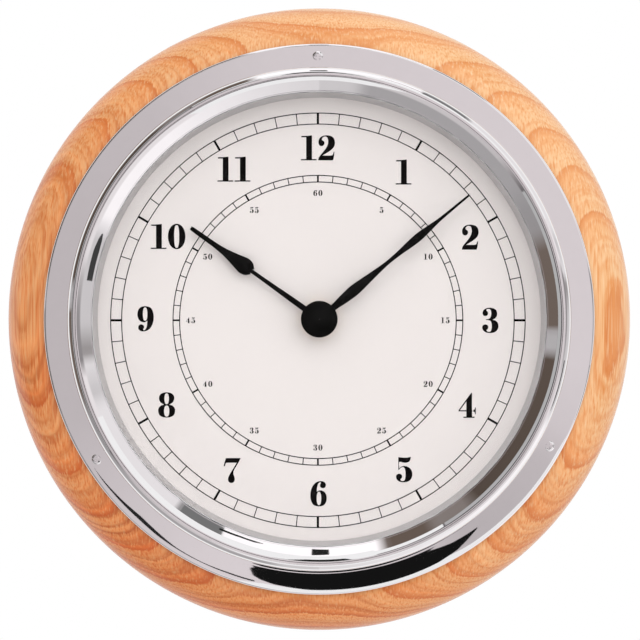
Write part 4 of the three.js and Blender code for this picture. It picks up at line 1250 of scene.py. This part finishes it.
hour_levels = (back_of("hour_hand"), front_of("hour_hand"))
hour_hand = hand(HOUR_BLADE, HOUR_ROOT, HOUR_BORE, HOUR_ANGLE, *hour_levels)
finish_piece(hour_hand, "leaf_hour_hand", "hour_hand", "hour_hand", angle=50)
minute_levels = (back_of("minute_hand"), front_of("minute_hand"))
minute_hand = hand(MINUTE_BLADE, MINUTE_ROOT, MINUTE_BORE, MINUTE_ANGLE, *minute_levels)
finish_piece(minute_hand, "leaf_minute_hand", "minute_hand", "minute_hand", angle=50)

# %% [markdown]
# ## The cap on the hands
#
# A black domed cap closes the arbor. It is pressed from thin sheet, so it has a short upright
# wall, a small round and a flat dome.

# %% Hub cap
CAP_WALL = 0.9
CAP_CHAMFER = 0.15
CAP_SOFTNESS = 0.25
CAP_STEPS = 24

cap_radius = radius_of("hub_cap")
cap_back = back_of("hub_cap")
cap_front = front_of("hub_cap")
dome_rise = cap_front - cap_back - CAP_WALL
dome_sphere = (cap_radius**2 + dome_rise**2) / (2 * dome_rise)
dome_half = math.asin(cap_radius / dome_sphere)
cap_outline = [(0, cap_back), (cap_radius - CAP_CHAMFER, cap_back)]
cap_outline.append((cap_radius, cap_back + CAP_CHAMFER))
for step in range(CAP_STEPS, -1, -1):
    lean = dome_half * step / CAP_STEPS
    cap_outline.append(
        (dome_sphere * math.sin(lean), cap_front - dome_sphere * (1 - math.cos(lean)))
    )
cap = turned(cap_outline, to_axis=True, steps=96)
soften_edges(cap, CAP_SOFTNESS, 4, 35)
finish_piece(cap, "domed_hub_cap", "minute_hand", "hub_cap", angle=40)

# %% [markdown]
# ## The flange screws
#
# Three small raised-head screws hold the case to the wood. A head is a shallow dome with a
# cross slot, cut by two thin blocks, and a short round shank carries on into the wood.

# %% Flange screws
SCREW_HEAD = 1.55
SCREW_DOME = 0.62
SCREW_SLOT = 0.5
SCREW_ARM = 1.15
SLOT_DEPTH = 0.8
SLOT_CORNER = 0.1
POINT_LENGTH = 2.0
POINT_RADIUS = 0.15
HEAD_DEPTH = 1.55
HEAD_EDGE = 0.15
DOME_FULLNESS = 0.97
DOME_STEPS = 10


def flange_screw(node, name):
    """A domed cross-slot screw at the place of a CAD screw."""
    x, z, _ = centre_of(node)
    low, high = back_of(node), front_of(node)
    shank = radius_of(node) / 2
    outline = rounded(
        [
            (0, low + 0.01, 0),
            (POINT_RADIUS, low, 0),
            (shank, low + POINT_LENGTH, 0),
            (shank, high - HEAD_DEPTH, 0),
            (SCREW_HEAD, high - SCREW_DOME - HEAD_EDGE, 0),
        ]
    )
    for step in range(DOME_STEPS, -1, -1):
        share = step / DOME_STEPS
        fall = 1 - math.sqrt(1 - DOME_FULLNESS * share**2)
        outline.append((SCREW_HEAD * share, high - SCREW_DOME * fall))
    screw = turned(outline, to_axis=True, steps=48)
    screw.location = (x * MM, 0, z * MM)
    settle(screw)
    for width, height in ((2 * SCREW_ARM, SCREW_SLOT), (SCREW_SLOT, 2 * SCREW_ARM)):
        carve(screw, block(width, height, high - SLOT_DEPTH, high + 1, x, z, SLOT_CORNER))
    return finish_piece(screw, name, "case", node, angle=35)


for clock_hour in (12, 4, 8):
    flange_screw(f"flange_screw_{clock_hour}", f"domed_screw_{clock_hour}")

# %% [markdown]
# ## Finishes for the hidden nodes
#
# What stays from the CAD model keeps its shape and takes the finish that its record names.
# The battery gets a printed sleeve with a coppery top, as any small cell has, and a plus and
# a minus that tell which way round it lies.

# %% Battery sleeve
COPPERY_END = 16
PLUS_INSET = 9
MINUS_INSET = 7
SLEEVE_SIGN_ARM = 1.9
SLEEVE_SIGN_HALF = 0.4
SLEEVE_BLACK = (0.02, 0.02, 0.022)
SLEEVE_GREY = (0.08, 0.08, 0.08)
SLEEVE_COPPER = (0.75, 0.38, 0.16)
PLUS_INK = (0.02, 0.02, 0.02)
MINUS_INK = (0.75, 0.75, 0.72)


def battery_sleeve():
    """A black shrink sleeve with a coppery end and two printed signs."""
    material, tree, shader = new_finish("battery_sleeve")
    place = place_of(tree)
    axes = add_node(tree, "SeparateXYZ", Vector=place)
    low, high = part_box("battery")
    middle = (low.z + high.z) / 2

    def bar(x, half_width=SLEEVE_SIGN_ARM, half_height=SLEEVE_SIGN_HALF):
        """1 inside a bar at x on the battery's middle line; the sizes are in mm."""
        across = reckon(tree, "COMPARE", axes.outputs["X"], x, half_width * MM)
        upward = reckon(tree, "COMPARE", axes.outputs["Z"], middle, half_height * MM)
        return reckon(tree, "MULTIPLY", across, upward)

    top = reckon(tree, "GREATER_THAN", axes.outputs["X"], high.x - COPPERY_END * MM)
    mottle = reckon(tree, "MULTIPLY", noise(tree, place, 200.0), 0.1)
    black = between(tree, mottle, colour(*SLEEVE_BLACK), colour(*SLEEVE_GREY))
    tint = between(tree, top, black, colour(*SLEEVE_COPPER))
    plus_x = high.x - PLUS_INSET * MM
    upright = bar(plus_x, SLEEVE_SIGN_HALF, SLEEVE_SIGN_ARM)
    plus = reckon(tree, "MAXIMUM", bar(plus_x), upright)
    minus = bar(low.x + MINUS_INSET * MM)
    tint = between(tree, plus, tint, colour(*PLUS_INK))
    tint = between(tree, minus, tint, colour(*MINUS_INK))
    tree.links.new(tint, shader.inputs["Base Color"])
    tree.links.new(reckon(tree, "MULTIPLY", top, 0.8), shader.inputs["Metallic"])
    rough = reckon(tree, "MULTIPLY_ADD", noise(tree, place, 900.0), 0.12, 0.24)
    tree.links.new(rough, shader.inputs["Roughness"])
    return material


finishes["battery_sleeve"] = battery_sleeve()

# %% [markdown]
# ## The pieces that show from behind
#
# The movement's housing is moulded, its knob is knurled, and the hanger is punched from
# plate. Their CAD shapes are right but razor sharp. A copy of each gets its facets merged and
# its edges broken a little, by as much as the mould or the punch would leave.

# %% Softened pieces
SOFT_PIECES = {
    "movement_rear_cover": ("moulded_rear_cover", "case", 0.35),
    "movement_front_housing": ("moulded_front_housing", "case", 0.35),
    "setting_knob": ("knurled_setting_knob", "setting_knob", 0.12),
    "battery": ("sleeved_battery", "battery", 0.3),
    "battery_contact_plus": ("plus_contact", "case", 0.05),
    "battery_contact_minus": ("minus_contact", "case", 0.05),
    "hanger_plate": ("punched_hanger_plate", "case", 0.15),
    "hanger_screw_left": ("left_hanger_screw", "case", 0.1),
    "hanger_screw_right": ("right_hanger_screw", "case", 0.1),
    "fixing_nut": ("turned_fixing_nut", "case", 0.1),
}


def softened(node, name, body, softness):
    """A copy of a CAD node with flat faces merged and edges broken; softness in mm."""
    copy = bpy.data.objects.new(name, frame["nodes"][node].data.copy())
    bpy.context.scene.collection.objects.link(copy)
    close_seams(copy)
    bpy.ops.object.mode_set(mode="EDIT")
    bpy.ops.mesh.select_all(action="SELECT")
    bpy.ops.mesh.dissolve_limited(angle_limit=math.radians(1))
    bpy.ops.object.mode_set(mode="OBJECT")
    soften_edges(copy, softness, 2, 40)
    return finish_piece(copy, name, body, node, angle=20)


for cad_name, (piece_name, body_name, softness) in SOFT_PIECES.items():
    softened(cad_name, piece_name, body_name, softness)

# %% [markdown]
# ## Marks moulded into the rear cover
#
# A mould leaves its marks: a curved arrow that tells which way the knob sets the hands, a plus
# and a minus beside the battery, and a shallow ring where each ejector pin pushed. They stand
# a sixth of a millimetre proud of the cover, so hands and boxes rub them smooth. Their colour is
# a paler grey than the grained plastic round them. This is a painted highlight for the light
# that their raised tops catch.

# %% Moulded marks
RELIEF = 0.16
ROOT = 0.05
ARROW_RADII = (7.2, 7.9)
ARROW_SPAN = (-62, 40)
ARROW_HEAD = (0.75, 12)
ARROW_STEPS = 16
SIGN_ARM = 1.1
SIGN_HALF = 0.22
SIGN_ABOVE_BATTERY = 2.4
PIN_RADIUS = 1.5
PIN_RING = 0.2
PIN_PLACES = [(-22, 22), (22, 22), (-22, -6), (22, -6)]

knob_x, knob_z, _ = centre_of("setting_knob")
cover_level = back_of("movement_rear_cover")


def arrow_loop():
    """A curved arrow round the knob."""
    inner, outer = ARROW_RADII
    first, last = ARROW_SPAN
    head, reach = ARROW_HEAD
    angles = [first + (last - first) * step / ARROW_STEPS for step in range(ARROW_STEPS + 1)]
    loop = [on_dial(angle, outer) for angle in angles]
    loop += [on_dial(last, outer + head), on_dial(last + reach, (inner + outer) / 2)]
    loop += [on_dial(last, inner - head)]
    loop += [on_dial(angle, inner) for angle in reversed(angles)]
    return [(x + knob_x, height + knob_z) for x, height in loop]


def bar_loop(x, height, half_width, half_height):
    """A rectangle round a point."""
    corners = ((-1, -1), (1, -1), (1, 1), (-1, 1))
    return [(x + i * half_width, height + j * half_height) for i, j in corners]


def cross_loop(x, height, arm, half):
    """A plus sign round a point."""
    corners = [(-arm, -half), (-half, -half), (-half, -arm), (half, -arm), (half, -half)]
    corners += [(arm, -half), (arm, half), (half, half), (half, arm), (-half, arm)]
    corners += [(-half, half), (-arm, half)]
    return [(x + i, height + j) for i, j in corners]


battery_low, battery_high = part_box("battery")
sign_height = battery_high.z / MM + SIGN_ABOVE_BATTERY
plus_x = battery_high.x / MM - PLUS_INSET
minus_x = battery_low.x / MM + MINUS_INSET
mark_loops = [
    arrow_loop(),
    cross_loop(plus_x, sign_height, SIGN_ARM, SIGN_HALF),
    bar_loop(minus_x, sign_height, SIGN_ARM, SIGN_HALF),
]
for pin_x, pin_height in PIN_PLACES:
    for radius in (PIN_RADIUS, PIN_RADIUS - PIN_RING):
        ring_loop = [(pin_x + x, pin_height + y) for x, y in circle(radius, 32)]
        mark_loops.append(ring_loop)
marks = flat_plate(mark_loops, RELIEF + ROOT, cover_level - RELIEF)
# The paler grey of the marks is a painted highlight; their lower roughness is the real rubbing.
rubbed_with_painted_highlight = grained("rubbed_plastic_painted_highlight", (0.085, 0.085, 0.09), 0.85, 0, 0.3, 0.25, 0.005)
finish_piece(marks, "moulded_marks", "case", slot="black_plastic", finish=rubbed_with_painted_highlight)

# %% [markdown]
# ## Finishes for the rest
#
# Every CAD node that still shows takes the finish that its record names.

# %% Remaining nodes
for node_name, cad_node in frame["nodes"].items():
    if not cad_node.hide_render:
        cad_node.data.materials.clear()
        cad_node.data.materials.append(finishes[slot_of[node_name]])

# %% [markdown]
# ## The studio
#
# Chrome shows the room more than itself, so the studio matters as much as the metal. A white
# surround gives soft light from all sides, one large softbox comes from above and a little
# from the right, and a few boards and screens stand where a photographer would have them.
# The boards are only there for mirrors to see: they cast no shadow and light nothing. The
# camera stands 2.5 m away on the clock's axis with a long lens, so every ring stays round.

# %% Camera
CAMERA_DISTANCE = 2.5
FOCAL_LENGTH = 511.7
OFF_THE_AXIS = (0.0002, -0.00022)

camera_data = bpy.data.cameras.new("photo_camera")
camera_data.sensor_width = 36
camera_data.lens = FOCAL_LENGTH
camera_data.clip_end = 50
camera = bpy.data.objects.new("photo_camera", camera_data)
camera.location = (OFF_THE_AXIS[0], -CAMERA_DISTANCE, OFF_THE_AXIS[1])
camera.rotation_euler = (math.pi / 2, 0, 0)
bpy.context.scene.collection.objects.link(camera)
bpy.context.scene.camera = camera
bpy.context.scene.view_settings.view_transform = "Standard"
print("camera at", [round(part, 5) for part in camera.location], "with", FOCAL_LENGTH, "mm")

# %% [markdown]
# ## Light from all sides
#
# The room is described as three rings of tones round the camera's axis. The inner ring is what
# the flange mirrors: the grey room behind the camera. The middle ring is what the rounded edges
# of flange and bezel mirror: bright to the right, dark to the left. The outer ring is what the
# steep taper of the bezel mirrors, from the far side: white paper above and at the lower right,
# light grey to the right, and a dark room to the left. Behind the clock all is white paper.
# Paint and wood are lit by the even mean of it all, which keeps the picture free of noise. What
# reaches the dial through the glass has a gentle ring of its own, brighter from the upper
# right. Angles go clockwise from twelve o'clock, as the camera sees them.

# %% Surrounding light
FRONT_TONES = [(-180, 0.80), (-155, 0.78), (-132, 0.68), (-112, 0.585), (-70, 0.585)]
FRONT_TONES += [(-40, 0.62), (-10, 0.74), (30, 0.77), (100, 0.77), (114, 0.71)]
FRONT_TONES += [(122, 0.60), (135, 0.56), (146, 0.55), (160, 0.75)]
MIDDLE_TONES = [(-180, 0.74), (-150, 0.66), (-132, 0.60), (-122, 0.16), (-105, 0.08)]
MIDDLE_TONES += [(-40, 0.09), (-28, 0.14), (-15, 0.3), (-6, 0.8), (20, 0.85), (30, 0.92)]
MIDDLE_TONES += [(76, 0.92), (80, 0.3), (92, 0.35), (100, 0.55), (106, 0.88), (150, 0.9)]
MIDDLE_TONES += [(180, 0.74)]
SIDE_TONES = [(-180, 0.70), (-172, 0.68), (-168, 0.43), (-126, 0.42), (-118, 0.35)]
SIDE_TONES += [(-112, 0.34), (-107, 0.18), (-88, 0.17), (-87, 0.5), (-82, 0.5), (-81, 0.12)]
SIDE_TONES += [(-42, 0.10), (-38, 0.25), (-30, 0.26), (-27, 0.15), (-17, 0.15), (-14, 1.25)]
SIDE_TONES += [(24, 1.2), (25, 0.35), (37, 0.35), (38, 0.9), (68, 0.9), (72, 0.66), (79, 0.85)]
SIDE_TONES += [(82, 0.32), (89, 0.67), (110, 0.67), (116, 1.12), (140, 1.1), (178, 0.80)]
GLASS_TONES = [(-180, 1.2), (-110, 1.1), (-60, 1.15), (30, 1.6), (100, 1.5), (180, 1.2)]
ROSY = (1, 0.92, 0.94)
PALE_ROSY = (1, 0.95, 0.96)
TAN = (1, 0.76, 0.62)
NEARLY_WHITE = (1, 0.965, 0.975)
GLASS_WHITE = (1, 0.975, 0.98)
SOFT_LIGHT = (0.82, 0.81, 0.81)
DARKEST_TONE = 0.15
TONE_RANGE = 0.2
MIDDLE_RING_FROM = (37, 41)
SIDE_RING_FROM = (57, 61)
PAPER_FROM = (93, 107)

surround = bpy.data.worlds.new("studio_surround")
bpy.context.scene.world = surround
surround.use_nodes = True
sky = surround.node_tree
background = sky.nodes["Background"]
direction = add_node(sky, "TexCoord").outputs["Generated"]
sky_axes = add_node(sky, "SeparateXYZ", Vector=direction)
clock_turn = reckon(sky, "ARCTAN2", sky_axes.outputs["X"], sky_axes.outputs["Z"])
clock_share = reckon(sky, "MULTIPLY_ADD", clock_turn, 0.5 / math.pi, 0.5)


def tone_ring(tones, warm, cool):
    """A ring of tones round the axis; dark tones lean to warm and bright ones to cool."""
    stops = []
    for angle, tone in tones:
        lean = min(1, max(0, (tone - DARKEST_TONE) / TONE_RANGE))
        tint = [w + (c - w) * lean for w, c in zip(warm, cool)]
        stops.append(((angle + 180) / 360, [tone * part for part in tint]))
    return tone_ramp(sky, clock_share, stops)


front_tone = tone_ring(FRONT_TONES, ROSY, ROSY)
middle_tone = tone_ring(MIDDLE_TONES, ROSY, PALE_ROSY)
side_tone = tone_ring(SIDE_TONES, TAN, NEARLY_WHITE)
glass_tone = tone_ring(GLASS_TONES, GLASS_WHITE, GLASS_WHITE)


def share_from(low_tilt, high_tilt):
    """0 up to one tilt off the camera's axis and 1 from another, with a soft step."""
    made = add_node(sky, "MapRange", {"interpolation_type": "SMOOTHSTEP"})
    feed(sky, made.inputs["Value"], sky_axes.outputs["Y"])
    made.inputs["From Min"].default_value = -math.cos(math.radians(low_tilt))
    made.inputs["From Max"].default_value = -math.cos(math.radians(high_tilt))
    return made.outputs["Result"]


white = colour(1.0, 1.0, 1.0)
soft_light = colour(*SOFT_LIGHT)
inner_room = between(sky, share_from(*MIDDLE_RING_FROM), front_tone, middle_tone)
whole_room = between(sky, share_from(*SIDE_RING_FROM), inner_room, side_tone)
ray = add_node(sky, "LightPath").outputs
mirrored = reckon(sky, "SUBTRACT", ray["Is Glossy Ray"], ray["Is Transmission Ray"])
even_light = between(sky, ray["Is Transmission Ray"], soft_light, glass_tone)
front_light = between(sky, mirrored, even_light, whole_room)
paper = between(sky, share_from(*PAPER_FROM), front_light, white)
sky.links.new(between(sky, ray["Is Camera Ray"], paper, white), background.inputs["Color"])
print("tones round the room", len(FRONT_TONES), len(MIDDLE_TONES), len(SIDE_TONES))

# %% [markdown]
# ## Key light and floor
#
# One large round softbox stands above the camera and a little to the right. Its size makes the
# shadows of the hands and the bezel soft, as they are on a real dial in a studio. Mirrors don't
# see it, because the room and the boards already draw all that the chrome shows. The floor is a
# plain pale disc well below the clock.

# %% Key light
KEY_WIDTH = 1.9
KEY_WATTS = 11
KEY_PLACE = (0.2, -1.6, 0.5)

key_data = bpy.data.lights.new("key_softbox", "AREA")
key_data.shape = "DISK"
key_data.size = KEY_WIDTH
key_data.energy = KEY_WATTS
key = bpy.data.objects.new("key_softbox", key_data)
key.location = KEY_PLACE
key.rotation_euler = (Vector((0, 0, 0)) - key.location).to_track_quat("-Z", "Y").to_euler()
key.visible_glossy = False
bpy.context.scene.collection.objects.link(key)
print("key light of", KEY_WATTS, "W at", KEY_PLACE)

# %% Floor
FLOOR_RADIUS = 1.6
FLOOR_PLACE = (0, 0, -0.6)

clear_selection()
bpy.ops.mesh.primitive_circle_add(
    vertices=96, radius=FLOOR_RADIUS, fill_type="NGON", location=FLOOR_PLACE
)
floor = bpy.context.object
floor.name = "studio_floor"
floor.data.materials.append(grained("studio_floor", (0.82, 0.81, 0.8), 0.97, 0, 0.6, 4.0, 0.05))
floor.visible_glossy = False
print("floor at", FLOOR_PLACE)

# %% [markdown]
# ## Boards and screens
#
# A photographer shapes chrome with boards: a white one draws a bright band, a black one a crisp
# dark line. Flat cards would do, but their edges have to land at exact angles in a curved
# mirror. So each board here is a grid bent round the clock. It is given by stations: at each
# clock angle, how far off the camera's axis it starts and ends. Boards glow by themselves, so
# no light has to be aimed at them.

# %% Boards and screens
BOARD_STEPS = 12


def board(name, stations, brightness, distance):
    """A board for mirrors to see, from stations (clock angle, low tilt, high tilt) in degrees."""
    clear_selection()
    columns = BOARD_STEPS * (len(stations) - 1)
    bpy.ops.mesh.primitive_grid_add(x_subdivisions=columns, y_subdivisions=8, size=1)
    made = bpy.context.object
    made.name = name
    for vertex in made.data.vertices:
        place = (vertex.co.x + 0.5) * (len(stations) - 1)
        first = min(int(place), len(stations) - 2)
        share = place - first
        turn, low, high = (
            here + (there - here) * share
            for here, there in zip(stations[first], stations[first + 1])
        )
        tilt = math.radians(low + (high - low) * (vertex.co.y + 0.5))
        turn = math.radians(turn)
        vertex.co = distance * Vector(
            (math.sin(tilt) * math.sin(turn), -math.cos(tilt), math.sin(tilt) * math.cos(turn))
        )
    material = bpy.data.materials.new(name)
    material.use_nodes = True
    tree = material.node_tree
    tree.nodes.remove(tree.nodes["Principled BSDF"])
    glow = add_node(tree, "Emission", Strength=brightness)
    tree.links.new(glow.outputs[0], tree.nodes["Material Output"].inputs["Surface"])
    made.data.materials.append(material)
    made.visible_camera = False
    made.visible_diffuse = False
    made.visible_shadow = False
    return made


FAR = 1.0
NEAR = 0.97
CAMERA_HOLE = [(0, 0.01, 5), (180, 0.01, 5), (360, 0.01, 5)]
DARK_STRIP = [(143, 29, 30), (149, 28, 36), (154, 25, 38), (160, 21.5, 38.5), (167, 19, 38.5)]
DARK_STRIP += [(182, 19, 38), (190, 19, 36), (193, 19.5, 34), (194.5, 24, 32), (195.5, 26, 27)]
DARK_TAIL = [(194, 36, 37.3), (200, 36, 37.2), (206, 36.7, 37.3), (212, 36.5, 37.4)]
DARK_TAIL += [(218, 34.3, 37.2), (222, 33.2, 36.6), (227, 34.6, 36.8), (234, 36.4, 37.2)]
DARK_TAIL += [(236.5, 36.9, 37)]
WHITE_STRIP = [(115, 40, 42), (119, 39, 45), (146, 38, 45), (150, 37, 56), (192, 37, 56)]
WHITE_STRIP += [(206, 44, 46)]
WHITE_PAPER = [(-31, 50, 56), (-14, 50, 56), (-13, 40, 60), (66, 40, 60)]
CHARCOAL_PATCH = [(99.5, 63, 76), (107, 62.5, 76), (110, 65, 74), (111.5, 68, 71)]
PALE_SHELF = [(238, 50, 56), (328.5, 50, 56)]
GREY_CASE = [(24.5, 60, 82), (36, 60, 82)]
DARK_CORD = [(14, 72.5, 73.5), (16, 70.5, 74), (20, 71, 75), (25.5, 69, 73.5)]
OVERHEAD_STAND = [(-2.3, 63, 75), (1.9, 62, 76.5)]
OVERHEAD_CABLE = [(-9, 45, 47), (-6, 41, 52.5), (-1, 41, 52.5), (3, 42, 52.5), (11, 45, 47)]
BOARDS = [
    ("camera_hole", CAMERA_HOLE, 0.01, FAR),
    ("dark_strip", DARK_STRIP, 0.008, NEAR),
    ("dark_tail", DARK_TAIL, 0.02, NEAR),
    ("white_strip", WHITE_STRIP, 0.98, FAR),
    ("white_paper_above", WHITE_PAPER, 1.0, FAR),
    ("charcoal_patch", CHARCOAL_PATCH, 0.055, FAR),
    ("pale_shelf", PALE_SHELF, 0.5, FAR),
    ("grey_case", GREY_CASE, 0.2, FAR),
    ("dark_cord", DARK_CORD, 0.02, NEAR),
    ("overhead_stand", OVERHEAD_STAND, 0.02, NEAR),
    ("overhead_cable", OVERHEAD_CABLE, 0.02, NEAR),
]
for board_name, stations, brightness, distance in BOARDS:
    board(board_name, stations, brightness, distance)
print("boards", [board_name for board_name, *_ in BOARDS])
